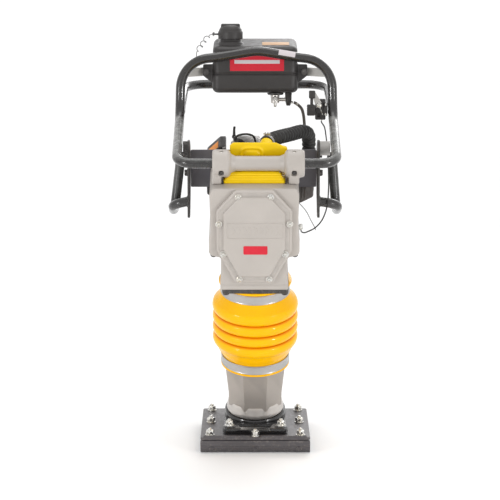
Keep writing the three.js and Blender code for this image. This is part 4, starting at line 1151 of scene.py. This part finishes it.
# ---------------------------------------------------------------- handle frame
FRAME_X = {-1: 208, 1: 203}
HUB = point_of("handle_rock")


def half_loop(reach):
    return [(BOSS_INNER + 7, HUB.y, HUB.z), (reach, HUB.y, HUB.z, 42), (reach, 8, 884, 70),
            (reach - 4, 12, 1031, 82),
            (108, 12, 1041, 160)]


def half_rear(reach):
    return [(reach - 1, 25, 894.6), (reach - 3, 318, 952, 62)]


def both_halves(half, middle=()):
    right = [(HUB.x + x, *rest) for x, *rest in half(FRAME_X[1])]
    left = [(HUB.x - x, *rest) for x, *rest in reversed(half(FRAME_X[-1]))]
    return right + list(middle) + left


FRAME_PATH = both_halves(half_loop, [(HUB.x, 13, 1059, 150)])
REAR_PATH = both_halves(half_rear)
PLATE_X, PLATE_THICK = {"left": 171, "right": 162}, 6


def weld(points, radius):
    """A weld bead: short overlapping ripples along a line."""
    line = evenly([Vector(p) for p in points], 1.2)
    return tube(line, lambda run: radius * (0.82 + 0.18 * math.cos(2.2 * run)), 10)


def collar(centre, direction, reach, radius):
    circle_line = [Vector((radius * math.cos(a), radius * math.sin(a), 0)) for a in
                   [2 * math.pi * k / 48 for k in range(49)]]
    ring = weld(circle_line, reach)
    return ring.moved(aim(centre, direction))


def handle_frame():
    """The bent loop, the rear bar, and each side's tank strap, guard tube and plate."""
    loop = tube(bent(FRAME_PATH), TUBE_RADIUS, 32)
    piece("handle_loop", loop, TUBE_SHEEN_PAINT, "handle", "handle_frame", sharp=50)
    piece("rear_bar", tube(bent(REAR_PATH), TUBE_RADIUS, 32), BLACK_PAINT, "handle",
          "rear_handle", sharp=50)
    for name, side in (("left", -1), ("right", 1)):
        edge = HUB.x * side + FRAME_X[side]
        plate_x = PLATE_X[name]
        tube_x = 180 if side < 0 else 187
        plan = [(tube_x, 12, 1), (tube_x + 4, 15, 1), (145, 66.2, 5), (122, 66.2, 1), (122, 62.6, 1),
                (142, 62.6, 4)]
        strap = slab(on_side(side, plan), 1, 988.4, 1011.6, 0.7)
        piece(f"tank_bracket_{name}", strap, BRACKET_GREY, "handle")
        mount = rod((side * 132, 40, 1000), (side * 132, 50.6, 1000), 9, 1.5, 40)
        piece(f"tank_cushion_{name}", mount, BLACK_RUBBER, "handle")
        bolt = hex_bolt(8, 8.5, 5).moved(aim((side * 132, 40, 1000), (0, -1, 0)))
        piece(f"tank_bolt_{name}", bolt, DARK_STEEL, "handle")

        route = [(side * x, *rest) for x, *rest in
                 ((edge, -4, 878), (edge - 3, -50, 770, 120), (216, -62, 632, 30), (216, -150, 664, 30),
                  (plate_x + PLATE_THICK + 0.4, -152, 672))]
        guard = tube(bent(route)[1:], TUBE_RADIUS, 28)
        beads = collar(route[-1], (side, 0, 0), 2.2, TUBE_RADIUS + 0.6)
        piece(f"guard_{name}", guard + beads, GUARD_SHEEN_PAINT, "handle", f"guard_tube_{name}", sharp=50)

        outline = [(-172, 631, 5), (-128, 631, 14), (-84, 690, 14), (-84, 813, 8), (-132, 832, 6),
                   (-166, 832, 5),
                   (-172, 813, 5)]
        inner, outer = sorted((side * plate_x, side * (plate_x + PLATE_THICK)))
        plate = facing_side(slab(outline, 4, inner, outer, 1, 6))
        tab_x = sorted((side * (plate_x + 1), side * (edge - TUBE_RADIUS - 1.2)))
        tab = facing_front(slab(rectangle(*tab_x, 794, 831), 1.6, -164, -159, 0.8, 5))
        heel_x = sorted((side * (plate_x + PLATE_THICK), side * (plate_x + PLATE_THICK + 6)))
        heel = block(heel_x, (-163, -139), (798, 829), 1.2, 2)
        tab_finish = DARK_STEEL if side < 0 else BARE_ALUMINIUM
        piece(f"side_tab_{name}", tab + heel, tab_finish, "handle")
        piece(f"side_sheet_{name}", plate, DARK_STEEL, "handle", f"side_plate_{name}")
        spots = [(-150, 748), (-104, 742), (-104, 790)]
        for number, (y, z) in enumerate(spots):
            bolt = hex_bolt(9, 10,
                            6.5).moved(aim((side * (plate_x + PLATE_THICK + 0.1), y, z), (side, 0, 0)))
            piece(f"side_bolt_{name}_{number + 1}", bolt, DARK_STEEL, "handle")

    panel = box_of("cross_panel", LEANING)
    sheet = facing_front(slab([(panel.x0, panel.z0, 3), (panel.x1, panel.z0, 3), (panel.x1, panel.z1, 6),
                               (panel.x0, panel.z1, 6)], 3, panel.y0, panel.y0 + 3, 0.7))
    lip = block((panel.x0 + 2, panel.x1 - 2), (panel.y0, panel.y1), (panel.z0, panel.z0 + 3), 0.8, 3)
    piece("rear_panel", sheet + lip, PANEL_PLASTIC, "handle", "cross_panel", LEANING)


# ---------------------------------------------------------------- fuel tank, cap and tap
TANK_FRONT, TANK_BACK, TANK_LOW, TANK_TOP, TANK_SIDE = 32, 190, 944, 1087, 116
SEAM = 996
# The tank's top is highest at this depth, and falls this far towards the front.
TANK_RIDGE, TANK_FALL = 158, 20
FILLER = point_of("fuel_cap_turn")


def tank_plan(grow):
    return [(-TANK_SIDE + grow, TANK_FRONT + grow), (TANK_SIDE - grow, TANK_FRONT + grow),
            (TANK_SIDE - grow, TANK_BACK - grow), (-TANK_SIDE + grow, TANK_BACK - grow)]


def tank():
    """Two moulded halves that meet in a stepped seam, the top sloping down to the front."""
    soft = [(1 - math.sin(a), 1 - math.cos(a)) for a in [math.pi / 2 * k / 7 for k in range(8)]]
    low = [(TANK_LOW + 15 * h, 15 * d) for d, h in soft]
    waist = [(SEAM - 7, 0), (SEAM - 4.5, 0.2), (SEAM - 3.2, 1.4), (SEAM - 2.4, 4.2), (SEAM + 1.2, 4.4),
             (SEAM + 2.2, 2.4), (SEAM + 5, 1.8)]
    high = [(TANK_TOP - 16 * h, 1.8 + 16 * d) for d, h in reversed(soft)]
    shape = terrace(tank_plan(0), 24, low + waist + high, 8)

    def sloped(p):
        share = max(0.0, min(1.0, (p.z - SEAM - 10) / (TANK_TOP - SEAM - 10)))
        behind = 3 * max(0.0, (p.y - TANK_RIDGE) / (TANK_BACK - TANK_RIDGE))
        fall = TANK_FALL * max(0.0, (TANK_RIDGE - p.y) / (TANK_RIDGE - TANK_FRONT)) + behind
        return Vector((p.x, p.y, p.z - fall * share))

    shape = shape.mapped(sloped)
    neck = rod((FILLER.x, FILLER.y, 1050), (FILLER.x, FILLER.y, 1089.6), 28, 1.2, 64)
    foot = turned([(0, 1050), (36, 1050), (34, 1076), (29, 1082), (0, 1082)], 64).at(FILLER.x, FILLER.y,
                                                                                     0)
    ears = []
    for side in (-1, 1):
        ear = on_side(side, [(104, 960), (116, 970), (141, 990), (141, 1021), (108, 1021)])
        ears.append(facing_front(slab(ear, 4, 51.2, 61.8, 2)))
    bore = rod((FILLER.x, FILLER.y, 1022), (FILLER.x, FILLER.y, 1100), 19, 0.3, 48)
    body = cut([shape, neck, foot] + ears, [bore])
    piece("tank_shell", cast(body, 1.7, 4, 0.45), BLACK_PLASTIC, "handle", "fuel_tank", sharp=60)
    # Blank labels: a red one on the front face, a pale one on the sloping top.
    red = facing_front(slab(rectangle(-68, 77.5, 1003.5, 1045), 2, TANK_FRONT + 1.2, TANK_FRONT + 1.75,
                            0.15, 4))
    stripe = facing_front(slab(rectangle(-56, 66, 1023, 1033), 1, TANK_FRONT + 0.9, TANK_FRONT + 1.3,
                               0.15, 4))
    piece("tank_label", red, RED_LABEL, "handle")
    piece("tank_label_stripe", stripe, WHITE_LABEL, "handle")
    tag = slab(rectangle(19, 92, 60, 100), 2, 0, 0.5, 0.15, 4)
    slope = TANK_FALL / (TANK_RIDGE - TANK_FRONT)
    tag = tag.mapped(lambda p: Vector((p.x, p.y, TANK_TOP + 0.35 + p.z - slope * (TANK_RIDGE - p.y))))
    piece("tank_top_label", tag, PEACH_LABEL, "handle")
    bar = [p for p in evenly(bent(FRAME_PATH), 3) if 58 < p.x < 109 and p.z > 1020]
    rings = []
    for at, onward in zip(bar, bar[1:]):
        along = (onward - at).normalized()
        ahead = Vector((0, -1, 0))
        over = ahead.cross(along).normalized()
        over = over if over.z > 0 else -over
        spread = [math.radians(-5 + 10 * k) for k in range(10)]
        outer = [at + (ahead * math.cos(a) + over * math.sin(a)) * (TUBE_RADIUS + 0.45) for a in spread]
        inner = [at + (ahead * math.cos(a) + over * math.sin(a)) * (TUBE_RADIUS + 0.05)
                 for a in spread[::-1]]
        rings.append(outer + inner)
    piece("bar_label", loft(rings), WHITE_LABEL, "handle", sharp=50, slot="black_paint")


def fuel_cap():
    """A cap with a knurled skirt, a grip across its top and a lug for its wire."""
    at = box_of("fuel_cap")
    base, top = at.z0, at.z1
    sides = 96
    profile = rounded([(29.5, base + 0.2), (33.4, base + 0.2), (33.4, base + 19, 3), (30.5, base + 24, 3),
                       (28.6, base + 29, 4), (24, base + 35, 6), (12, base + 38.2,
                                                                  6), (0.01, base + 38.6)], 1, False)
    rings = []
    for p in profile:
        ring = []
        for k in range(sides):
            a = 2 * math.pi * k / sides
            grip = 1.1 * max(0, math.cos(a * 24)) ** 2 if base + 3 < p.y < base + 18 else 0
            ring.append((FILLER.x + (p.x - grip) * math.cos(a), FILLER.y + (p.x - grip) * math.sin(a),
                         p.y))
        rings.append(ring)
    shell = loft(rings)
    ridge = [(-26, 82.5), (26, 82.5), (26, 101.5), (-26, 101.5)]
    wing = slab([(x + FILLER.x, y + FILLER.y - 92) for x, y in ridge], 6, base + 20, top - 0.4, 4, 6)
    hood = turned([(0, base + 22), (31, base + 22), (30, base + 27), (24, base + 30), (0, base + 31)], 72)
    lug = block((FILLER.x - 44, FILLER.x - 29), (FILLER.y - 6, FILLER.y + 6), (base + 11, base + 15.5),
                1.4, 4)
    eye = washer(5.4, 2.2, base + 11, base + 15.5).at(FILLER.x - 44, FILLER.y, 0)
    body = cut([shell, wing, hood.at(FILLER.x, FILLER.y, 0), lug, eye],
               [turned([(0, base - 5), (28.8, base - 5), (28.8, base + 4), (0, base + 4)], 64)
                .at(FILLER.x, FILLER.y, 0)])
    piece("filler_cap", cast(body, 0.9, 4, 0.5), BLACK_PLASTIC, "fuel_cap", "fuel_cap", sharp=60)


def cap_tether():
    """The curly wire from the cap's lug down to the handle loop's tube."""
    line = spline(TETHER_ROUTE, 0.8)
    last = len(line) - 1
    curl = []
    for i, point in enumerate(line):
        along = (line[min(i + 1, last)] - line[max(i - 1, 0)]).normalized()
        side = Vector((0, 0, 1)).cross(along).normalized()
        up = along.cross(side)
        share = i / last
        swell = TETHER_CURL * max(0, min(1, (share - 0.1) / 0.14, (1 - share) / 0.08))
        angle = 2 * math.pi * TETHER_TURNS * share
        curl.append(point + (side * math.cos(angle) + up * math.sin(angle)) * swell)
    eye = [Vector((FILLER.x - 44, FILLER.y, 1100.5)) + Vector((4.4 * math.cos(a), 0, 5 * math.sin(a)))
           for a in [math.pi * (0.5 + k / 6) for k in range(7)]]
    bend = ("handle", "fuel_cap", (-154, 25, 1050), (-116, 91, 1099))
    tail = [Vector((-157.5, 24.5, 1050)), Vector((-158, 25, 1040))]
    piece("tether_wire", tube(eye[::-1] + curl + tail, 1.1, 10), WIRE_GREY, bend, "cap_tether", sharp=60)


def fuel_tap():
    """The tap under the tank, its lever, and the filter bowl beside it."""
    x, y = 55, 60
    skirt = turned([(0, 938), (20, 938), (22, 940), (22, 943.6), (0, 943.6)], 56).at(x, y, 0)
    piece("tap_skirt", skirt, BLACK_PLASTIC, "handle")
    body = rod((54, y, 915), (54, y, 941), 11.6, 2, 40)
    nut = hexagon(21, 930, 939.5, 1.4).at(54, y, 0)
    arm = rod((60, y, 925), (84, y, 925), 4.6, 0.6, 28)
    ribs = [turned([(0, -1), (5.6, -1), (5.6, 1), (0, 1)], 28).moved(aim((k, y, 925), (1, 0, 0)))
            for k in (70, 75, 80)]
    drain = turned([(0, 0), (4, 0), (4, 5), (2.6, 7), (2.6, 10), (0, 10)],
                   24).moved(aim((54, y, 915.5), (0, 0, -1)))
    piece("tap_body", body + nut + arm + together(ribs) + drain, CAST_ALUMINIUM, "handle",
          "fuel_tap")
    bowl = turned([(0, 908.6), (4.6, 908.6), (6.2, 911), (8.8, 924), (9, 938), (9.6, 939), (9.6, 942),
                   (8.6, 944),
                   (0, 944)], 48).at(90, y, 0)
    piece("tap_filter", bowl, BLACK_PLASTIC, "handle")
    spigot = [(0, 0), (4, 0)] + [(3.2 + 0.9 * (k % 2), 2 + 1.4 * k) for k in range(7)] + [(0, 11)]
    piece("tap_spigot", turned(spigot, 28).moved(aim((92.5, y, 919), (11, 0, -2))), ZINC, "handle")
    hub = turned([(0, 0), (7.2, 0), (7.2, 5), (5.6, 7.4), (0, 7.4)],
                 36).moved(aim((54, 47.4, 928), (0, -1, 0)))
    blade = facing_front(slab([(50.4, 906, 3), (57.6, 906, 3), (58.6, 926, 3), (49.4, 926, 3)], 2, 41, 45,
                              1.2))
    ridge = facing_front(slab([(53, 908), (55, 908), (55, 926), (53, 926)], 0.8, 39.6, 42, 0.6))
    piece("tap_handle", hub + blade + ridge, BARE_ALUMINIUM, "fuel_tap_lever", "fuel_tap_lever")


# ---------------------------------------------------------------- throttle
def throttle():
    """The throttle's clamp on the handle tube, and the lever that turns on it."""
    clamp = cut([block((161, 189), (4, 26), (874, 930), 3, 4),
                 block((184, 193.6), (0, 30), (884, 920), 2.5, 3),
                 block((158, 166), (8, 22), (886, 902), 2, 3)],
                [rod((170, 0, 886), (170, 12, 886), 5, 0.5, 24),
                 rod((170, 0, 920), (170, 9, 920), 4, 0.5, 24)])
    piece("throttle_housing", cast(clamp, 0.9, 3, 0.5), BLACK_PLASTIC, "handle",
          "throttle_clamp", sharp=60)
    for number, z in enumerate((889, 915)):
        screw = dome_bolt(4, 3).moved(aim((189, 0.2, z), (0, -1, 0)))
        piece(f"throttle_screw_{number + 1}", screw, ZINC, "handle")
    ferrule = turned([(0, 0), (4, 0), (4, 4), (2.9, 5), (2.9, 9), (0, 9)],
                     24).moved(aim((178, 15, 880), (0, 0, -1)))
    piece("cable_ferrule", ferrule, ZINC, "handle")
    pivot = rod((171, -14, 914), (171, 3.6, 914), 8, 1.2, 36)
    arm = facing_front(slab([(163, 907, 4), (178, 906, 6), (177, 922, 4), (161, 949, 5), (151, 948, 5)],
                            4, -12.5,
                            -8, 1.4, 5))
    cap = block((143.5, 160.5), (-19.5, -2.5), (932.5, 953.5), 3, 3)
    stem = block((147, 155), (-14, -8), (914, 936), 1.6, 2)
    grip = block((138.5, 159.5), (-17.5, -4.5), (886.5, 916.5), 3, 3)
    link = block((150, 168), (-12.2, -8), (905, 914), 1.4, 2)
    ribs = [block((138, 160), (-18.2, -3.8), (z, z + 1.6), 0.5, 2) for z in range(890, 914, 5)]
    piece("throttle_arm", pivot + cap + stem + grip + link + together(ribs), BLACK_PLASTIC,
          "throttle_lever", "throttle_lever")
    piece("throttle_plate", arm, BARE_ALUMINIUM, "throttle_lever")
    nut = washer(6.5, 3, 0, 1) + hexagon(9, 1, 5.2, 0.8)
    piece("throttle_nut", nut.moved(aim((171, -14, 914), (0, -1, 0))), ZINC, "throttle_lever")
    strip = facing_front(slab([(167.5, 914, 3), (174.5, 914, 3), (171, 934, 3), (164, 934, 3)], 2, -14.6,
                              -13, 0.5))
    piece("throttle_blade", strip, BARE_ALUMINIUM, "throttle_lever")
    wire = tube(evenly([Vector((170, -15.4, 914)), Vector((178, -11, 896)), Vector((181, -4, 888))], 3),
                0.9, 10)
    piece("throttle_wire", wire, ZINC, "throttle_lever")


# ---------------------------------------------------------------- engine
ENGINE_FRONT = 122.3


def engine():
    """The engine's block, the fins round its cylinder and the oil plug."""
    outline = [(-80, 425, 8), (80, 425, 8), (84, 470, 14), (84, 545, 10), (62, 560, 8), (-62, 560, 8),
               (-84, 545, 10), (-84, 470, 14)]
    sump = facing_front(slab(outline, 8, ENGINE_FRONT, 231.6, 4, 4))
    barrel = block((-48, 48), (136, 218), (552, 699), 4, 8)
    feet = [block((x - 12, x + 12), (128, 226), (425, 436), 2, 3) for x in (-62, 62)]
    plug_boss = rod((70, 190, 470), (83.6, 190, 470), 15, 2, 40)
    bore = rod((0, 100, PINION.z), (0, 245, PINION.z), 15, 0.3, 40)
    body = cut([sump, barrel, plug_boss] + feet, [bore], LEANING)
    piece("engine_casting", cast(body, 2.0, 3, 0.4), CAST_ALUMINIUM, "machine", "engine_block")
    fins = []
    for k in range(14):
        s = 570 + k * 9.2
        plan = [(-65.6, 127, 12), (65.6, 127, 12), (65.6, 227.5, 12), (-65.6, 227.5, 12)]
        fins.append(slab(plan, 12, s, s + 2.4, 0.8, 5))
    head = slab([(-60, 130, 10), (60, 130, 10), (60, 224, 10), (-60, 224, 10)], 10, 697, 702.5, 1.5, 4)
    piece("cylinder_fins", together(fins) + head, CAST_ALUMINIUM, "machine", place=LEANING)
    # The spark plug's boot takes the place of a fourth bolt.
    for number, (x, y) in enumerate([(-52, 216), (52, 138), (52, 216)]):
        bolt = hex_bolt(7, 7.5, 4.5).at(x, y, 702.3)
        piece(f"head_bolt_{number + 2}", bolt, DARK_STEEL, "machine", place=LEANING)
    dip = turned([(0, 0), (13, 0), (13, 3), (9, 4), (9, 10), (11.5, 12), (11.5, 18), (9, 20), (0, 20)],
                 20)
    piece("oil_plug", dip.moved(aim((83.4, 190, 470), (1, 0, 0))), YELLOW_PLASTIC, "machine",
          place=LEANING)


def fan_housing():
    """The recoil cover: a cup with slots round its face, and the cooling duct beside it."""
    z = PINION.z
    cup_profile = [(93, 234), (98, 234), (98, 276), (94, 286), (86, 290), (40, 290), (37, 288), (0, 288),
                   (0, 282), (82, 282), (90, 278), (93, 270)]
    cup = facing_front(turned(cup_profile, 96, 1.2)).at(0, 0, z)
    duct = facing_front(slab([(-130, 560, 8), (-78, 560, 4), (-78, 702, 3), (-94, 702, 6),
                              (-130, 668, 10)], 4,
                             160, 238, 3))
    foot = block((-97, -80), (236, 270), (520, 600), 3, 4)
    boss = rod((0, 280, z + 62), (0, 297, z + 62), 14, 2.5, 40)
    flange = turned([(93, 234), (101, 234), (101, 238), (93, 238)], 96, 0.8, True)
    flange = facing_front(flange).at(0, 0, z)
    slots = []
    for k in range(20):
        a = 2 * math.pi * k / 20
        if abs(a - math.pi / 2) < 0.35:
            continue
        slot = slab(rectangle(50, 78, -3, 3), 2.9, 270, 300, 0.2, 4).moved(Matrix.Rotation(a, 4, "Z"))
        slots.append(facing_front(slot).at(0, 0, z))
    hole = rod((0, 275, z + 62), (0, 302, z + 62), 4.5, 0.2, 24)
    clear = rod((0, 225, z), (0, 282, z), 93.2, 0.2, 96)
    made = cut([cup, duct, foot, flange, boss], [clear, hole] + slots, LEANING)
    piece("fan_cowl", cast(made, 1.9, 3, 0.4), BLACK_PLASTIC, "machine", "fan_housing", sharp=60)
    cap = turned([(0, 0), (34, 0), (33, 1.6), (26, 2.4), (24, 1.2), (0, 1.2)], 64)
    piece("recoil_cap", cap.moved(aim((0, 288.2, z), (0, 1, 0))), BARE_ALUMINIUM, "machine",
          place=LEANING)
    for number in range(3):
        a = math.radians(30 + 120 * number)
        place = (86.5 * math.cos(a), 289, z + 86.5 * math.sin(a))
        piece(f"recoil_screw_{number + 1}", hex_bolt(6, 6.5, 4).moved(aim(place, (0, 1, 0))), ZINC,
              "machine", place=LEANING)
    slope = Vector((-98 + 126, 698 - 672, 0)).normalized()
    out = Vector((-slope.y, slope.x, 0)) * 0.5
    face = [Vector((-126.4, 671.4, 0)), Vector((-99, 697, 0))]
    rings = [[(p.x + o.x, y, p.y + o.y) for p, o in ((face[0], out * 0.6), (face[1], out * 0.6),
                                                     (face[1], out * 2.4), (face[0], out * 2.4))]
             for y in (167, 209)]
    piece("duct_label", loft(rings), ORANGE_LABEL, "machine", place=LEANING)
    trim = facing_front(slab([(-87, 690, 1), (-77, 690, 1), (-77, 701.4, 1), (-87, 701.4, 1)], 1, 154,
                             160, 0.8))
    piece("duct_trim", trim, BARE_ALUMINIUM, "machine", place=LEANING)


def starter():
    """The pull grip and the rope that runs into the recoil cover."""
    z = PINION.z + 62
    bar_line = evenly([Vector((-33, 309.6, z)), Vector((-20, 309, z)), Vector((20, 309, z)),
                       Vector((33, 309.6, z))], 2)
    grip = tube(bar_line, lambda run: 8.4 + 0.8 * abs(math.sin(run / 66 * math.pi * 3)), 32)
    stem = turned([(0, 0), (5.6, 0), (6.8, 3), (7.6, 11), (0, 11)],
                  32).moved(aim((0, 298.9, z), (0, 1, 0)))
    body = cut([grip, stem], [rod((0, 313, z), (0, 325, z), 4, 0.3, 20)], LEANING)
    piece("pull_grip", cast(body, 0.9, 4, 0.5), BLACK_RUBBER, "starter_grip", "starter_grip",
          sharp=60)
    cord = tube(evenly([Vector((0, 270, z)), Vector((0, 301, z))], 1), 1.9, 12)
    ends = [TO_UPRIGHT @ Vector((0, y, z)) for y in (286, 298)]
    piece("starter_rope", cord, ROPE, ("machine", "starter_grip", *ends), place=LEANING)


def exhaust():
    """The muffler, the heat shield over the cylinder, and the spark plug's boot and lead."""
    outline = [(86, 548, 8), (122, 548, 10), (156, 566, 10), (156, 612, 9), (86, 612, 8)]
    can = facing_front(slab(outline, 8, 134, 214, 6, 5))
    seam = facing_front(slab([(x + (2 if x > 100 else -1), s, r) for x, s, r in outline], 8, 172, 175.5,
                             0.8, 5))
    pipe = rod((66.5, 174, 590), (90, 174, 590), 12, 1, 40)
    flange = block((66.6, 71), (158, 190), (572, 608), 1, 6)
    tail = turned([(0, 0), (9, 0), (9, 14), (7.4, 14), (7.4, 3), (0, 3)],
                  40).moved(aim((120, 212, 582), (0, 1, 0.1)))
    louvres = [block((96 + 9 * k, 100 + 9 * k), (131.6, 136), (564, 602), 1.2, 1.8) for k in range(5)]
    piece("silencer", can + seam + pipe + flange + tail + together(louvres), MUFFLER_PAINT, "machine",
          "muffler", LEANING)
    sheet = facing_side(slab([(136, 704.4, 1), (214, 704.4, 1), (214, 712.6, 3), (150, 712.6, 6),
                              (136, 708.6, 2)], 1,
                             -48, 12, 1.2, 4))
    lip = facing_side(slab([(132.6, 702, 0.6), (134.4, 702, 0.6), (137.5, 709.6, 0.6),
                            (135.6, 710.2, 0.6)], 0.5,
                           -46, 10, 0.5, 2))
    dimples = [turned([(0, 0), (4, 0), (3.2, 1), (0, 1.2)], 24).at(x, 170, 712.4) for x in (-30, -6)]
    piece("heat_plate", sheet + lip + together(dimples), BARE_ALUMINIUM, "machine", "heat_shield",
          LEANING)
    boot = rod((-36, 150, 713.7), (-36, 150, 721), 9, 1.5, 32) + rod((-36, 150, 719), (-50, 142, 726),
                                                                     7.6, 1.6, 32)
    rings = [turned([(6, 0), (9.7, 0), (9.7, 1.4), (6, 1.4)], 32, 0.3, True).at(-36, 150, 714.6 + 2.4 * k)
             for k in range(2)]
    piece("plug_boot", cut([boot], [rod((-36, 150, 700), (-36, 150, 715), 4, 0.2, 20)], LEANING),
          BLACK_RUBBER,
          "machine", "spark_plug_cap")
    piece("plug_boot_rings", together(rings), BLACK_RUBBER, "machine", place=LEANING)
    lead = spline([(-54, -73, 826), (-54, -71, 831), (-46, -70, 838), (-31, -70, 841.6), (-16, -70, 841),
                   (-5, -69, 836), (0, -60, 824), (2, -44, 806)], 2)
    piece("plug_lead", tube(lead, 2.8, 16), BLACK_RUBBER, "machine", sharp=60)


def carburettor():
    """The carburettor beside the cylinder, and the choke lever."""
    body = cut([rod((146, 60, 744), (146, 60, 775.4), 15, 1.2, 48),
                block((126.4, 165.6), (42.4, 83.6), (712, 748), 3, 5),
                rod((66.4, 60, 722), (128, 60, 722), 13.6, 1, 40), block((118, 124), (38, 82), (700, 744),
                                                                         1.5, 6),
                rod((138, 78, 730), (138, 82, 745), 4, 0.8, 24)],
               [rod((146, 60, 752), (146, 60, 790), 11, 0.3, 40)])
    piece("carburettor_body", cast(body, 1.2, 3, 0.5), CAST_ALUMINIUM, "machine",
          "carburettor", sharp=60)
    bowl = turned([(0, 700.2), (13, 700.2), (17, 703), (18, 708), (18, 714), (0, 714)], 48).at(146, 63, 0)
    piece("float_bowl", bowl, BARE_ALUMINIUM, "machine")
    spigot = [(0, 0), (3, 0)] + [(2.6 + 0.7 * (k % 2), 30 + 2 * k) for k in range(7)] + [(0, 44.5)]
    piece("fuel_inlet", turned(spigot, 24).at(138, 82, 741.5), ZINC, "machine")
    for number, (x, y) in enumerate(((132, 48), (160, 48), (160, 78))):
        piece(f"carburettor_screw_{number + 1}", dome_bolt(3.4, 2.6).at(x, y, 747.8), ZINC, "machine")
    lever = facing_front(slab([(-61.6, 820, 4), (-53.4, 820, 4), (-54, 842, 2), (-52.6, 850, 3),
                               (-59.6, 850, 3),
                               (-60.6, 842, 2)], 3, 88.2, 91.8, 1.2, 5))
    hub = rod((-57.5, 84, 822), (-57.5, 90, 822), 6, 1, 28)
    piece("choke_arm", lever + hub, BLACK_PLASTIC, "choke_lever", "choke_lever")


def cable_end():
    """Where the throttle cable enters the gear case side, with the thin earth wire beside it."""
    body = rod((119.5, -156, 598), (119.5, -156, 613.6), 4.2, 0.8, 28)
    nuts = [hexagon(10, 0, 3.4, 0.6).at(119.5, -156, z) for z in (600.5, 607)]
    foot = rod((114.6, -156, 606), (120, -156, 606), 6, 0.8, 28)
    piece("cable_adjuster", body + together(nuts) + foot, ZINC, "machine", "cable_fitting")
    wire = spline([(110.5, -104, 668), (113.5, -98, 664), (134.6, -92, 639.5), (148, -96, 614),
                   (156, -104, 600),
                   (160, -110, 590.5)], 3)
    piece("earth_wire", tube(wire, 1.0, 10), WIRE_GREY, "machine", sharp=60)


MAKERS = [shoe, foot_casting, leg, clamp_bands, bellows, guide_cylinder, crankcase, cover, handle_mount,
          air_filter, hoses, handle_frame, tank, fuel_cap, cap_tether, fuel_tap, throttle, engine,
          fan_housing, starter, exhaust, carburettor, cable_end]


# ---------------------------------------------------------------- floor, light and camera
def studio():
    """A white sweep, a white sky, five soft lamps and the camera."""
    floor = bpy.data.meshes.new("floor")
    size, bend = 9.0, 24
    rings = []
    for k in range(bend + 1):
        a = math.pi / 2 * k / bend
        rings.append((3.0 + 1.5 * math.sin(a), 1.5 * (1 - math.cos(a))))
    line = [(-size, 0)] + rings + [(4.5, size)]
    points = [(x, y, z) for y, z in line for x in (-size, size)]
    faces = [(2 * k, 2 * k + 1, 2 * k + 3, 2 * k + 2) for k in range(len(line) - 1)]
    floor.from_pydata(points, [], faces)
    floor.shade_smooth()
    paint = Paint("floor_white", Base_Color=(0.96, 0.96, 0.96, 1.0))
    paint.set("Roughness", paint.ramp(paint.noise(3, 2), (0.3, 0.5), (0.7, 0.6)))
    floor.materials.append(paint.material)
    sweep = bpy.data.objects.new("floor_sweep", floor)
    scene.collection.objects.link(sweep)

    world = bpy.data.worlds.new("studio_white")
    scene.world = world
    world.use_nodes = True
    world.node_tree.nodes["Background"].inputs["Color"].default_value = (1, 1, 1, 1)
    world.node_tree.nodes["Background"].inputs["Strength"].default_value = 0.86

    # name, place, aimed at, width, height, watts
    lamps = [("left_softbox", (-2.2, -2.2, 0.85), (0, 0, 0.45), 0.4, 0.22, 18),
             ("right_softbox", (2.2, -2.2, 0.85), (0, 0, 0.45), 0.4, 0.22, 18),
             ("top_softbox", (0, 0.2, 3.1), (0, 0, 0.5), 1.8, 1.8, 16),
             ("back_softbox", (0.8, 2.4, 2.2), (0, 0, 0.6), 1.6, 1.2, 20),
             ("wall_softbox", (0, 1.8, 3.0), (0, 4.5, 2.0), 3.0, 0.8, 18)]
    for name, place, target, width, height, watts in lamps:
        light = bpy.data.lights.new(name, "AREA")
        light.shape, light.size, light.size_y, light.energy = "RECTANGLE", width, height, watts
        lamp = bpy.data.objects.new(name, light)
        scene.collection.objects.link(lamp)
        lamp.location = place
        lamp.rotation_euler = (Vector(target) - Vector(place)).to_track_quat("-Z", "Y").to_euler()

    lens = bpy.data.cameras.new("camera")
    lens.sensor_width, lens.lens = 36, 134.2
    camera = bpy.data.objects.new("camera", lens)
    scene.collection.objects.link(camera)
    camera.location = (-0.014, -5.0, 1.25)
    downwards = 8.29
    camera.rotation_euler = Matrix.Rotation(math.radians(90 - downwards), 3, "X").to_euler()
    scene.camera = camera
    scene.view_settings.view_transform = "Standard"


NODE_FINISHES = {
    "cast_grey": CAST_GREY, "cast_aluminium": CAST_ALUMINIUM, "black_paint": BLACK_PAINT,
    "black_plastic": BLACK_PLASTIC, "laminate": LAMINATE, "black_rubber": BLACK_RUBBER,
    "yellow_rubber": YELLOW_RUBBER, "yellow_plastic": YELLOW_PLASTIC, "steel": STEEL, "zinc_plated": ZINC,
    "shoe_paint": SHOE_PAINT, "dark_steel": DARK_STEEL, "filter_paper": PAPER,
}


def finish_cad_nodes():
    """Every CAD node takes the finish of its own slot, shown or not."""
    for part in frame["record"]["subparts"]:
        node = frame["nodes"][part["node"]]
        node.data.materials.clear()
        node.data.materials.append(NODE_FINISHES[part["material_slot"]])


finish_cad_nodes()
for make in MAKERS:
    make()
studio()
